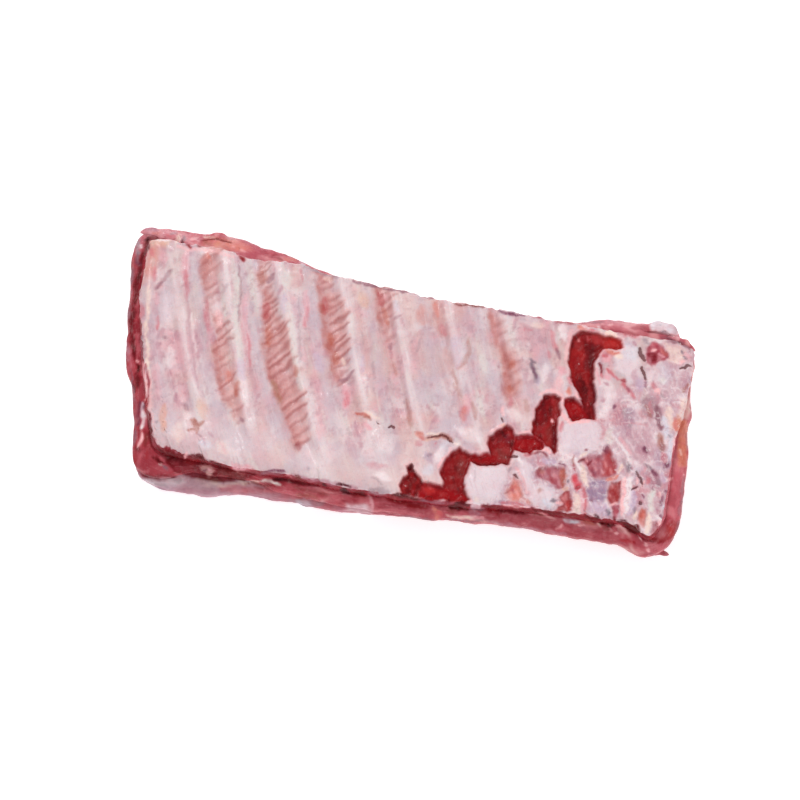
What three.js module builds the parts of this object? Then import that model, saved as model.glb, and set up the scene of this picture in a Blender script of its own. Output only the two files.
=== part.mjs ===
// A raw slab of pork back ribs lying bone side up, in millimetres.
// +X runs along the slab, +Y towards its back edge, +Z up; the fat side rests on z = 0.
// It is one piece of meat in three layers that show at its sides: the rib plate, the lean and the fat.
import * as THREE from 'three';

// Heights
const PLATE_TOP = 30;
const PLATE_EDGE = 27.5;
const PLATE_SEAM = 20;
const LEAN_BELLY = 13.5;
const FAT_SEAM_LEFT = 9;
const FAT_SEAM_RIGHT = 3.5;
const FAT_BELLY_SHARE = 0.38;
const SEAM_GAP = 0.3;
const LUMP_SIZE = 0.7;
const SLAB_LEFT = -165;
const SLAB_RIGHT = 165;
const PLATE_LENGTH = 328;
const PLATE_WIDTH = 124;
const RIM_ROUNDING = 9;

// Outline of the rib plate seen from above, side by side; each side ends where the next one starts.
const PLATE_OUTLINE = {
  left: [[-163, 66], [-160, 40], [-158, 25], [-148, -5], [-138, -35], [-127, -59]],
  front: [[-127, -59], [-110, -61], [-80, -63], [-50, -61], [-15, -62], [25, -60], [55, -58],
    [78, -54], [120, -51], [143, -50.5], [155, -57]],
  right: [[155, -57], [161, -45], [161, -8], [160, 15], [164, 30], [164.5, 48], [165, 59]],
  back: [[165, 59], [150, 62], [120, 60.5], [90, 61], [20, 60.5], [-45, 63], [-70, 66], [-100, 64.5],
    [-120, 67], [-163, 66]],
};

// How far the lean and the fat stand out beyond the plate, at even steps along each side.
const LEAN_OVERHANG = {
  left: [13, 10.5, 10.5, 9.5, 12.5, 10.5, 11, 17],
  front: [17, 5, 2.5, 8, 8, 7, 8, 5, 6, 9, 10, 10],
  right: [9, 10, 9.5, 10, 5, 1, 1.5],
  back: [1.5, 14, 13, 6, 3.5, 3.5, 3.5, 4, 4, 8, 16, 15.5, 14, 13],
};
const FAT_OVERHANG = {
  left: [8, 8, 8, 7, 9, 8, 10, 18],
  front: [18.5, 15.5, 9, 9.5, 8.5, 6, 5, 3, 3, 5, 5, 5],
  right: [4, 5, 5, 4, 2, 0, 0],
  back: [0, 5, 5, 2, 1, 1, 1, 1, 1, 3, 8, 8, 7, 5],
};

// Gaps between ribs: where each starts at the back edge, where it fades out, how deep and how wide it is.
const RIB_TILT = 0.36;
const RIB_BEND = 0.001;
const BACK_EDGE = 60;
const RIB_GAPS = [
  { start: -151, end: -40, depth: 1.2, halfWidth: 6 },
  { start: -125, end: -45, depth: 1.8, halfWidth: 6 },
  { start: -95, end: -52, depth: 2.6, halfWidth: 7 },
  { start: -54, end: -28, depth: 2.2, halfWidth: 6 },
  { start: -20, end: -22, depth: 2.0, halfWidth: 6 },
  { start: 11, end: 8, depth: 1.4, halfWidth: 5 },
  { start: 43, end: 6, depth: 1.6, halfWidth: 5 },
  { start: 78, end: 20, depth: 1.2, halfWidth: 5 },
];

// The stepped cut through the rib ends, as tilted blocks: centre, half size and turn in degrees.
const CUT_DEPTH = 3.2;
const CUT_BLOCKS = [
  { x: 105, y: 32, halfX: 8, halfY: 24, turn: 7 },
  { x: 115, y: 51, halfX: 9, halfY: 5, turn: 0 },
  { x: 88.5, y: -2, halfX: 7.5, halfY: 16, turn: 4 },
  { x: 102, y: 8, halfX: 6, halfY: 6, turn: 30 },
  { x: 80, y: -17, halfX: 8, halfY: 5, turn: -10 },
  { x: 65, y: -20, halfX: 8, halfY: 10, turn: 4 },
  { x: 57, y: -31, halfX: 9, halfY: 3.5, turn: -8 },
  { x: 43, y: -43, halfX: 8, halfY: 15, turn: 6 },
  { x: 33, y: -55, halfX: 7, halfY: 4, turn: 0 },
  { x: 21, y: -54, halfX: 7, halfY: 5, turn: 10 },
];

// Cartilage that stands up beyond the cut, in the same terms.
const CARTILAGE_HEIGHT = 1.6;
const CARTILAGE_BLOCKS = [
  { x: 62, y: -46, halfX: 9, halfY: 9, turn: 12 },
  { x: 110, y: -8, halfX: 10, halfY: 8, turn: -15 },
  { x: 94, y: -44, halfX: 6, halfY: 6, turn: 10 },
  { x: 80, y: -36, halfX: 5, halfY: 9, turn: 20 },
  { x: 128, y: 40, halfX: 8, halfY: 12, turn: 20 },
];

// Meat between the cartilages, slightly sunk.
const HOLLOW_DEPTH = 1.3;
const HOLLOWS = [
  { x: 94, y: -32, halfX: 7, halfY: 6, turn: 15 },
  { x: 108, y: -44, halfX: 2.5, halfY: 8, turn: 10 },
  { x: 122, y: -22, halfX: 6, halfY: 8, turn: 15 },
  { x: 132, y: -40, halfX: 4, halfY: 10, turn: 12 },
  { x: 150, y: -44, halfX: 3, halfY: 6, turn: 8 },
  { x: 145, y: 16, halfX: 5, halfY: 9, turn: 10 },
];

const smooth = (from, to, value) => THREE.MathUtils.smoothstep(value, from, to);

const wave = (x, y) => Math.sin(x * 0.07 + Math.cos(y * 0.05) * 2) * Math.cos(y * 0.09 + x * 0.021)
  + 0.5 * Math.sin(x * 0.19 + 1.7) * Math.sin(y * 0.17 + x * 0.04);

const fatSeam = (x) => THREE.MathUtils.mapLinear(x, SLAB_LEFT, SLAB_RIGHT, FAT_SEAM_LEFT, FAT_SEAM_RIGHT);

// Signed distance to a tilted block with round corners, negative inside.
function blockDistance(block, x, y) {
  const turn = THREE.MathUtils.degToRad(block.turn);
  const dx = x - block.x;
  const dy = y - block.y;
  const round = Math.min(block.halfX, block.halfY) * 0.5;
  const across = Math.abs(dx * Math.cos(turn) + dy * Math.sin(turn)) - block.halfX + round;
  const along = Math.abs(dy * Math.cos(turn) - dx * Math.sin(turn)) - block.halfY + round;
  return Math.hypot(Math.max(across, 0), Math.max(along, 0)) + Math.min(Math.max(across, along), 0) - round;
}

// 1 inside any of the blocks and 0 beyond a soft edge.
function blockShare(blocks, x, y, softEdge) {
  const nearest = Math.min(...blocks.map((block) => blockDistance(block, x, y)));
  return 1 - smooth(-softEdge, softEdge, nearest);
}

// Depth of the furrow over the meat between two ribs; the ribs lean along X as they come forward.
function gapDepth(gap, x, y) {
  const forward = BACK_EDGE - y;
  const centre = gap.start + RIB_TILT * forward + RIB_BEND * forward * forward;
  const offset = Math.abs(x - centre) / gap.halfWidth;
  const fade = smooth(gap.end - 12, gap.end + 14, y);
  return gap.depth * fade * (1 - smooth(0.35, 1.5, offset));
}

// Height of the bone side away from its edge.
function plateHeight(x, y) {
  const cupped = 0.0005 * y * y - 0.00004 * (x - 20) * (x - 20);
  const furrows = RIB_GAPS.reduce((depth, gap) => depth + gapDepth(gap, x, y), 0);
  const beyondCut = 1.2 * smooth(-6, 10, x - 96 + 0.9 * (-y - 8));
  return PLATE_TOP + cupped + 0.35 * wave(x, y) - furrows - beyondCut
    - CUT_DEPTH * blockShare(CUT_BLOCKS, x, y, 1.6)
    + CARTILAGE_HEIGHT * blockShare(CARTILAGE_BLOCKS, x, y, 2.5)
    - HOLLOW_DEPTH * blockShare(HOLLOWS, x, y, 2.5);
}

// The four sides in order, each divided into equal steps; corners belong to the side that they start.
const SIDES = ['left', 'front', 'right', 'back'];

function alongSides(across, lengthwise, read) {
  const steps = { left: across, front: lengthwise, right: across, back: lengthwise };
  return SIDES.flatMap((side) => Array.from({ length: steps[side] }, (_, i) => read(side, i / steps[side])));
}

// The plate's closed outline, with its corners rounded by averaging neighbours a number of times.
function outline(across, lengthwise, roundings) {
  const curves = Object.fromEntries(SIDES.map((side) => [side,
    new THREE.SplineCurve(PLATE_OUTLINE[side].map(([x, y]) => new THREE.Vector2(x, y)))]));
  let ring = alongSides(across, lengthwise, (side, t) => curves[side].getPointAt(t));
  for (let pass = 0; pass < roundings; pass += 1) {
    ring = ring.map((point, i) => point.clone().multiplyScalar(2)
      .add(ring[(i + 1) % ring.length])
      .add(ring[(i + ring.length - 1) % ring.length])
      .divideScalar(4));
  }
  return ring;
}

// A number given at even steps along a side, read between them with a smooth curve.
function overhangs(table, across, lengthwise) {
  return alongSides(across, lengthwise, (side, t) => {
    const values = table[side];
    const place = t * (values.length - 1);
    const step = Math.min(Math.floor(place), values.length - 2);
    return THREE.MathUtils.lerp(values[step], values[step + 1], smooth(0, 1, place - step));
  });
}

// Outward directions of a closed outline, evened over a few neighbours so that corners fan out.
function outwards(ring) {
  const reach = 3;
  return ring.map((_, i) => {
    const before = ring[(i - reach + ring.length) % ring.length];
    const after = ring[(i + reach) % ring.length];
    return new THREE.Vector2(after.y - before.y, before.x - after.x).normalize();
  });
}

// One level of a layer's side: each outline point pushed outwards, with small lumps, and set at its height.
function level(ring, directions, push, height, lumps = 0) {
  return ring.map((point, i) => {
    const lump = lumps * wave(2.3 * point.x, 2.3 * point.y);
    const moved = point.clone().addScaledVector(directions[i], push(i) + lump);
    return new THREE.Vector3(moved.x, moved.y, height(moved.x, moved.y));
  });
}

// Joins levels from the top down into the outside of a layer, closed by its two faces.
function layerGeometry(levels, topFaces, topPoints) {
  const count = levels[0].length;
  const points = [...levels.flat(), ...topPoints];
  const faces = [...topFaces];
  for (let row = 0; row + 1 < levels.length; row += 1) {
    for (let i = 0; i < count; i += 1) {
      const next = (i + 1) % count;
      const [a, b] = [row * count + i, row * count + next];
      faces.push(a, a + count, b + count, a, b + count, b);
    }
  }
  const lowest = (levels.length - 1) * count;
  for (const face of flatFaces(levels.at(-1))) {
    faces.push(lowest + face[0], lowest + face[2], lowest + face[1]);
  }
  const geometry = new THREE.BufferGeometry().setFromPoints(points);
  geometry.setIndex(faces);
  geometry.computeVertexNormals();
  return geometry;
}

// Triangles over a flat face, counter-clockwise from above.
function flatFaces(ring) {
  return THREE.ShapeUtils.triangulateShape(ring.map((point) => new THREE.Vector2(point.x, point.y)), []);
}

// A grid of points between the four sides of the plate's rim, raised to the height of the bone side.
function reliefTop(rim, across, lengthwise, firstIndex) {
  const corners = [0, across, across + lengthwise, 2 * across + lengthwise];
  const left = (j) => (across - j) % rim.length;
  const front = (i) => corners[1] + i;
  const right = (j) => corners[2] + j;
  const back = (i) => (corners[3] + lengthwise - i) % rim.length;
  const points = [];
  const indexAt = (i, j) => {
    if (i === 0) return left(j);
    if (i === lengthwise) return right(j);
    if (j === 0) return front(i);
    if (j === across) return back(i);
    return firstIndex + (i - 1) * (across - 1) + j - 1;
  };
  for (let i = 1; i < lengthwise; i += 1) {
    for (let j = 1; j < across; j += 1) {
      points.push(patchPoint(rim, { left, front, right, back }, i, j, i / lengthwise, j / across, corners));
    }
  }
  const faces = [];
  for (let i = 0; i < lengthwise; i += 1) {
    for (let j = 0; j < across; j += 1) {
      const quad = [indexAt(i, j), indexAt(i + 1, j), indexAt(i + 1, j + 1), indexAt(i, j + 1)];
      faces.push(quad[0], quad[1], quad[2], quad[0], quad[2], quad[3]);
    }
  }
  return { points, faces };
}

// A point of the patch between four curved sides, at shares u along and v across.
function patchPoint(rim, side, i, j, u, v, corners) {
  const mix = (read) => {
    const between = (1 - v) * read(rim[side.front(i)]) + v * read(rim[side.back(i)])
      + (1 - u) * read(rim[side.left(j)]) + u * read(rim[side.right(j)]);
    const ends = (1 - u) * (1 - v) * read(rim[corners[1]]) + u * (1 - v) * read(rim[corners[2]])
      + u * v * read(rim[corners[3]]) + (1 - u) * v * read(rim[corners[0]]);
    return between - ends;
  };
  const x = mix((point) => point.x);
  const y = mix((point) => point.y);
  const inside = Math.min(u * PLATE_LENGTH, (1 - u) * PLATE_LENGTH, v * PLATE_WIDTH, (1 - v) * PLATE_WIDTH);
  const rimHeight = mix((point) => point.z);
  const height = THREE.MathUtils.lerp(rimHeight, plateHeight(x, y), Math.sqrt(smooth(0, RIM_ROUNDING, inside)));
  return new THREE.Vector3(x, y, height);
}

// The rib plate: bones and the meat between them under one membrane, with the cut rib ends.
function ribPlate() {
  const across = 34;
  const lengthwise = 90;
  const ring = outline(across, lengthwise, 5);
  const directions = outwards(ring);
  const lean = overhangs(LEAN_OVERHANG, across, lengthwise);
  const rimHeight = (x, y) => PLATE_EDGE + 0.5 * (plateHeight(x, y) - PLATE_TOP);
  const under = PLATE_SEAM + SEAM_GAP;
  const levels = [
    level(ring, directions, () => 0, rimHeight),
    level(ring, directions, (i) => 0.5 + 0.07 * lean[i], () => PLATE_EDGE - 2),
    level(ring, directions, (i) => 0.2 + 0.16 * lean[i], () => PLATE_EDGE - 4.5),
    level(ring, directions, (i) => 0.22 * lean[i] - 0.3, () => under),
  ];
  const top = reliefTop(levels[0], across, lengthwise, levels.length * ring.length);
  return layerGeometry(levels, top.faces, top.points);
}

// A layer below the plate: both its faces are flat, and its side swells between them.
function swollenLayer(pushes, heights) {
  const across = 22;
  const lengthwise = 56;
  const ring = outline(across, lengthwise, 2);
  const directions = outwards(ring);
  const shares = {
    lean: overhangs(LEAN_OVERHANG, across, lengthwise),
    fat: overhangs(FAT_OVERHANG, across, lengthwise),
  };
  const levels = heights.map((height, row) => level(ring, directions, (i) => pushes[row](shares, i), height,
    LUMP_SIZE));
  return layerGeometry(levels, flatFaces(levels[0]).flat(), []);
}

function leanMeat() {
  const under = (x) => fatSeam(x) + SEAM_GAP;
  return swollenLayer([
    (share, i) => 0.28 * share.lean[i] - 0.3,
    (share, i) => 0.62 * share.lean[i],
    (share, i) => share.lean[i],
    (share, i) => share.lean[i] - 0.3,
    (share, i) => share.lean[i] - 2,
  ], [
    () => PLATE_SEAM,
    () => PLATE_SEAM - 1.6,
    () => LEAN_BELLY + 1.5,
    (x) => 0.5 * (LEAN_BELLY + under(x)) + 0.5,
    under,
  ]);
}

function fatCover() {
  return swollenLayer([
    (share, i) => Math.min(share.lean[i] - 1.5, share.fat[i] - 0.4),
    (share, i) => THREE.MathUtils.lerp(Math.min(share.lean[i], share.fat[i]), share.fat[i], 0.75),
    (share, i) => share.fat[i],
    (share, i) => share.fat[i] - 2.4,
  ], [
    fatSeam,
    (x) => fatSeam(x) * 0.8,
    (x) => fatSeam(x) * FAT_BELLY_SHARE,
    () => 0,
  ]);
}

function piece(name, geometry, color, roughness) {
  const mesh = new THREE.Mesh(geometry, new THREE.MeshStandardMaterial({ color, roughness, metalness: 0 }));
  mesh.name = name;
  return mesh;
}

const slab = new THREE.Group();
slab.add(
  piece('rib_plate', ribPlate(), 0xe2cfd2, 0.4),
  piece('lean_meat', leanMeat(), 0x9c3540, 0.4),
  piece('fat_cover', fatCover(), 0xe6d5d2, 0.45),
);

// The origin is under the middle of the slab.
const middle = new THREE.Box3().setFromObject(slab).getCenter(new THREE.Vector3());
slab.position.set(-middle.x, -middle.y, 0);

export default slab;
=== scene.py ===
import math

import bpy
import numpy as np
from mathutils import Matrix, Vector


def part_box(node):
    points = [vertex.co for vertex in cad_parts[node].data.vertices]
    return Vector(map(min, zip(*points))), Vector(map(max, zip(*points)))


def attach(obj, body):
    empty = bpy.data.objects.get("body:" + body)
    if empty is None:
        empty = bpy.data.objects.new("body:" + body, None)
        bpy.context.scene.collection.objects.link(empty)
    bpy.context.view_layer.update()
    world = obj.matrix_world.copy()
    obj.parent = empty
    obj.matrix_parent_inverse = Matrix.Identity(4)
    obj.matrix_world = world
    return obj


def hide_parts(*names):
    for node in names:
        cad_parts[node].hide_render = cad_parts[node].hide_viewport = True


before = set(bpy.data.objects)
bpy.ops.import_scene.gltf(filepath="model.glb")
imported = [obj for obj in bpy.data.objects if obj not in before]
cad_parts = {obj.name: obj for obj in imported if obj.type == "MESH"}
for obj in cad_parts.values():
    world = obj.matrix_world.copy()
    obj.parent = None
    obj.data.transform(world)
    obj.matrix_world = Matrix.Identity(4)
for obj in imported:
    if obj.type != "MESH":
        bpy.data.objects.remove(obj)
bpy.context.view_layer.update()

MM = 0.001
SIDES = ("left", "front", "right", "back")

# Heights
PLATE_TOP = 30
PLATE_EDGE = 27.5
PLATE_SEAM = 20
LEAN_BELLY = 13.5
FAT_SEAM_LEFT = 9
FAT_SEAM_RIGHT = 3.5
FAT_BELLY_SHARE = 0.38
SEAM_GAP = 0.3
SLAB_LEFT = -165
SLAB_RIGHT = 165
PLATE_LENGTH = 328
PLATE_WIDTH = 124
RIM_ROUNDING = 9
CORNER_ROUNDING = 3.6
PLATE_ROUNDING = 3
LUMP_SIZE = 0.3
EYE = (64.2, -304, 865.7)
NEIGHBOUR_REACH = 11

# Points along Y and X on each layer's rim, and rows of points down its side
PLATE_STEPS = (176, 460)
PLATE_ROWS = 13
LEAN_STEPS = (150, 400)
LEAN_ROWS = 34
FAT_STEPS = (140, 360)
FAT_ROWS = 24

# Outline of the rib plate from above; each side ends where the next one starts.
PLATE_OUTLINE = {
    "left": [(-163, 66), (-160, 40), (-158, 25), (-148, -5), (-138, -35), (-127, -59)],
    "front": [(-127, -59), (-110, -61), (-80, -63), (-50, -61), (-15, -62), (25, -60), (55, -58),
              (78, -54), (120, -51), (143, -50.5), (155, -57)],
    "right": [(155, -57), (161, -45), (161, -8), (161.5, 8), (164.7, 22), (165.4, 34), (165.8, 48),
     (165.8, 59)],
    "back": [(165.8, 59), (150, 62), (120, 60.5), (90, 61), (20, 60.5), (-45, 63), (-70, 66), (-100, 64.5),
             (-120, 67), (-163, 66)],
}

# How far the lean and the fat stand out beyond the plate, at even steps along each side.
LEAN_OVERHANG = {
    "left": [13, 11, 9.5, 10.8, 13.2, 9.8, 11, 17],
    "front": [17, 5, 2.5, 8, 8, 7, 8, 6, 8, 9.8, 10, 10],
    "right": [9.5, 10.6, 10.5, 10.2, 5.6, 1.2, 1.5],
    "back": [1.5, 14, 13, 6, 3.5, 3.5, 3.5, 4, 4, 6, 12, 15.5, 13, 13],
}
FAT_OVERHANG = {
    "left": [8, 8, 8, 7, 9, 8, 10, 18],
    "front": [18.5, 15.5, 9, 9.5, 8.5, 6, 5, 3, 3, 5, 5, 5],
    "right": [4, 5, 5, 4, 2, 0, 0],
    "back": [0, 5, 5, 2, 1, 1, 1, 1, 1, 3, 8, 8, 7, 5],
}

# Furrows between ribs: where each starts at the back edge and fades out, its bend, depth and half width.
FURROW_SWELL = 1.25
RIB_TILT = 0.36
RIB_CURVE = 0.0008
BACK_EDGE = 60
GAP_KEYS = ("start", "bend", "end", "depth", "half_width")
RIB_GAPS = [dict(zip(GAP_KEYS, row)) for row in (
    (-157, 0.0008, -40, 1.2, 5.5),
    (-125, 0.0004, -45, 1.8, 5.5),
    (-93.5, 0.00105, -52, 2.6, 7.5),
    (-54.5, 0.0005, -28, 2.2, 6.5),
    (-21, 0.0002, -22, 2.0, 4.5),
    (11, 0.0008, 8, 1.4, 4),
    (44.5, 0.0011, 6, 1.6, 3.5),
    (79, 0.0004, 20, 1.2, 3.5),
)]

# Meat that shows in the furrows: a height up the slab, the meat's left and right edge there and how red
# it is. Each band has its strokes' spacing, strength and slope, and the share left of them that is solid.
MEAT_BANDS = [
    {"spacing": 6.2, "strokes": 0.85, "slope": 1.3, "solid": 0.0, "rows": [
        (62, -127, -118, 0.45), (55, -129, -116, 0.75), (48, -127.5, -116, 0.85), (42, -126, -117.5, 0.7),
        (36, -122, -116, 0.35), (28, -119, -110, 0.3), (20, -112.5, -103, 0.6), (12, -109.5, -99.5, 0.8),
        (4, -109, -98.5, 0.7), (-4, -106, -96, 0.65), (-10, -103.5, -92.5, 0.8), (-16, -101.5, -88, 0.9),
        (-22, -98, -86.5, 0.8), (-28, -93, -84, 0.65), (-34, -88, -80.5, 0.5), (-39, -84, -80, 0)]},
    {"spacing": 4.9, "strokes": 1.0, "slope": 1.4, "solid": 0.1, "rows": [
        (62, -96, -89, 0.4), (55, -95, -87, 0.75), (47, -92, -84, 0.45), (42, -88, -81, 0.8),
        (36, -87, -79, 1), (30, -86.5, -75, 1), (24, -84.5, -68, 0.95), (16, -82.5, -65, 0.9),
        (8, -80, -61.5, 0.9), (0, -77, -57, 0.95), (-8, -73, -55, 0.95), (-16, -68.5, -50, 0.9),
        (-24, -63, -45.5, 0.85), (-32, -58, -43, 0.8), (-39, -52.5, -43.5, 0.7), (-46, -50, -44.5, 0.7),
        (-51, -48, -46, 0)]},
    {"spacing": 5.0, "strokes": 1.0, "slope": 1.1, "solid": 0.4, "rows": [
        (62, -61, -49, 0.7), (55, -58.5, -48.5, 1.05), (49, -56, -44, 1.1), (44, -53.5, -38, 1.1),
        (36, -51.5, -37, 1.1), (28, -49.5, -35, 1.15), (20, -47, -31.5, 1.15), (13, -43, -31.5, 1.05),
        (7, -40, -33, 0.8), (1, -37, -29, 0.7), (-4, -34, -29, 0)]},
    {"spacing": 5.4, "strokes": 0.8, "slope": 1.2, "solid": 0.3, "rows": [
        (62, -25, -14, 0.6), (56, -24, -12.5, 0.9), (48, -21, -11.5, 0.85), (40, -18.5, -10.5, 0.8),
        (34, -15.5, -9.5, 0.75), (29, -13, -9, 0.6), (24, -11, -7.5, 0.3), (18, -8, -3.5, 0.3),
        (10, -4, 0, 0.25), (4, -2, 1, 0)]},
    {"spacing": 7.0, "strokes": 0.25, "slope": 1.2, "solid": 0.2, "rows": [
        (61, 9, 15, 0.4), (54, 11, 17, 0.6), (47, 14, 20, 0.5), (40, 18, 24, 0.55), (34, 22, 26, 0.3),
        (24, 26, 30, 0.2), (14, 31, 34, 0.2), (6, 35, 38, 0.25), (0, 38, 42, 0.2), (-4, 39, 43, 0)]},
    {"spacing": 6.0, "strokes": 0.45, "slope": 1.0, "solid": 0.3, "rows": [
        (60, 43, 49, 0.5), (54, 45, 52, 0.85), (46, 48, 55.5, 0.85), (40, 50.5, 58, 0.85), (34, 54, 64, 0.9),
        (28, 57, 68, 1.15), (20, 59, 70, 1.25), (12, 61, 69.5, 1.15), (7, 63, 69, 0.6), (2, 64, 68, 0)]},
]
STROKE_SLOPE_FRONT = 0.95
STROKE_SOFTNESS = 1.5

# The stepped cut: sawn rib ends with dark marrow, and the bright meat between them.
CUT_DEPTH = 3.2
MARROW_OUTLINES = [
    [(94, 46), (95, 53), (98, 57), (104, 57.5), (111, 57), (117, 56), (123, 55), (124, 50), (118, 49),
     (113, 47), (111, 42), (109, 37), (110.5, 30), (112.5, 22), (114, 13), (115, 5), (109, 4), (107, 12),
     (102, 20), (98, 27), (95, 33), (94, 39)],
    [(84.5, 13), (87, 14.5), (93.5, 14), (94.5, 6), (95, -6), (96, -14), (97, -19), (95.5, -20.5),
     (92.5, -17), (88, -14), (82.5, -11), (81, -4), (81, 3), (82.5, 9)],
    [(57, -17), (60, -15), (63.5, -12), (66.5, -9), (70.5, -10), (72.5, -15), (73, -21), (72, -26),
     (72, -32), (66, -32.5), (61.5, -29), (59, -25), (57.5, -21)],
    [(40, -30), (43, -28), (46, -29), (50, -29.5), (50, -36), (49, -44), (50, -51), (53.5, -56), (50, -58),
     (40, -58.5), (37.5, -52), (37, -48), (34.5, -42), (36, -36), (38, -32)],
    [(14.5, -51), (17, -48.5), (15.5, -44.5), (17.5, -43), (20, -46.5), (24, -49), (27, -52), (27, -57),
     (25, -60), (16, -61), (14, -56)],
]
LINK_OUTLINES = [
    [(96, 13), (99, 15.5), (104, 14.5), (107, 12), (111, 6), (105.5, 2), (103, 0.5), (100, 3), (97, 9)],
    [(72, -14), (78, -12), (83, -10.5), (90, -15), (88, -18.5), (84, -20), (82, -24), (79, -23), (77, -22),
     (72, -21)],
    [(49.5, -29.5), (56, -28.5), (62, -28), (71, -31.5), (62, -34), (56, -36), (52, -34.5), (49, -33)],
    [(25, -52), (30, -51), (37, -52.5), (44, -52), (53, -55), (50, -58), (34, -60.5), (25, -60.5)],
]

# Cartilage that stands up beyond the cut.
CARTILAGE_HEIGHT = 1.6
CARTILAGE_OUTLINES = [
    [(51, -36), (57, -36), (63, -34.5), (72, -33), (73, -38), (71, -46), (71, -52), (66, -55), (61, -56),
     (60, -60), (57, -61), (54, -56), (51, -50), (50.5, -40)],
    [(98, 0), (106, 2), (114, 4), (120, 0), (121, -9), (117, -15), (110, -17), (101, -18), (97.5, -10)],
    [(86, -41), (92, -39), (98, -41), (102, -46), (101, -51), (90, -53), (86, -50)],
    [(74, -27), (80, -26), (86, -30), (87, -38), (88, -47), (84, -46), (79, -36)],
    [(123, 52), (132, 53), (136, 42), (138, 31), (130, 30), (121, 36), (118, 44)],
]

# Meat that shows between the cartilages, slightly sunk: a tint, the softness of its edge and an outline.
HOLLOW_DEPTH = 1.3
MARKS_OVER_MEAT_X = 86
MARKS_OVER_MEAT_Y = 60
MEAT_PATCHES = [
    ("mauve_red", 1.2, [(87, -33), (89, -30), (93, -28.5), (97, -28), (103, -27.5), (104, -31),
     (104.5, -38), (102, -40.5), (100, -41), (97, -38.5), (93, -37), (88, -35.5)]),
    ("deep_red", 0.8, [(104, -42.5), (106, -40), (108, -40), (109, -44), (110.5, -47), (110.5, -51),
     (108, -53), (104, -52.5), (101, -53.5), (103, -50), (106, -48.5), (104, -47), (102.5, -45.5)]),
    ("mauve_red", 1.2, [(109.5, -22), (112, -20), (115, -18), (119, -17), (122, -16.5), (123.5, -12),
                        (124.5, -8.5), (127, -12), (129, -16), (131, -20), (131.5, -25), (128, -27),
                        (125, -29), (120, -30), (117, -28), (115, -24.5), (112, -23.5)]),
    ("meat_red", 1.4, [(124, -13), (126, -12), (129, -17), (131, -21), (131, -25), (127, -27.5), (124, -28),
                       (123, -20)]),
    ("deep_red", 0.9, [(129.5, -30.5), (132, -30), (135.5, -29), (136, -35), (136, -41), (133, -43),
                       (130.5, -43), (128.5, -40), (128.5, -34)]),
    ("rose_red", 0.8, [(133, -44), (136.5, -42.5), (137, -47), (136, -50.5), (134, -51), (133, -48)]),
    ("orange_red", 1.0, [(147.5, -50), (148.3, -45), (149.5, -42), (151, -43), (152, -46.5), (152.8, -51),
                         (152, -52.5), (149, -52)]),
    ("salmon", 2.0, [(72.5, -49), (74.5, -45), (77, -39), (80, -43), (83, -49), (80, -52), (76, -51.5)]),
    ("rose_red", 1.1, [(137, 52), (137.5, 55), (139.5, 57.5), (141.5, 59), (144, 58), (147, 56), (150, 53),
                       (151, 50), (148, 48.5), (146, 47.5), (144, 44.5), (142, 43.5), (139, 45), (138, 48)]),
    ("bright_red", 0.9, [(107.5, -32), (109, -29.5), (110.5, -29.5), (112, -32), (114, -34.5),
     (113.5, -37.5), (111.5, -38.5), (109.5, -36), (107.5, -34)]),
]

# Cracks, each a half width and a line; the dark laid in them is painted shade.
SLITS = [
    (1.08, [(133, 52.5), (134, 50), (135.5, 47), (137, 44.8)]),
    (1.08, [(137.3, 41), (138.3, 38.5), (140, 35)]),
    (0.81, [(142.8, -20.8), (143.5, -23), (145.5, -25), (147.5, -28.5)]),
    (0.61, [(141.5, -33), (143, -31.5), (144.8, -29.8)]),
    (0.94, [(146.8, -38.5), (148, -40)]),
    (0.54, [(-7.5, -21.3), (-5, -22.7)]),
    (0.94, [(0.5, -23.8), (2.5, -22.8), (4.5, -23.8)]),
    (0.68, [(24, -25.4), (28, -23.6), (32, -22), (35, -23), (38, -25.5)]),
    (0.81, [(16.5, -44.5), (18, -43.2), (19.5, -46)]),
    (0.68, [(62, -4.5), (63.5, -7.5)]),
    (0.94, [(71, -25.6), (75.5, -26)]),
    (0.68, [(75, -37.6), (78, -38.4)]),
    (0.94, [(157.5, 45.5), (160.5, 46), (162, 48), (165, 49)]),
]

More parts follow.
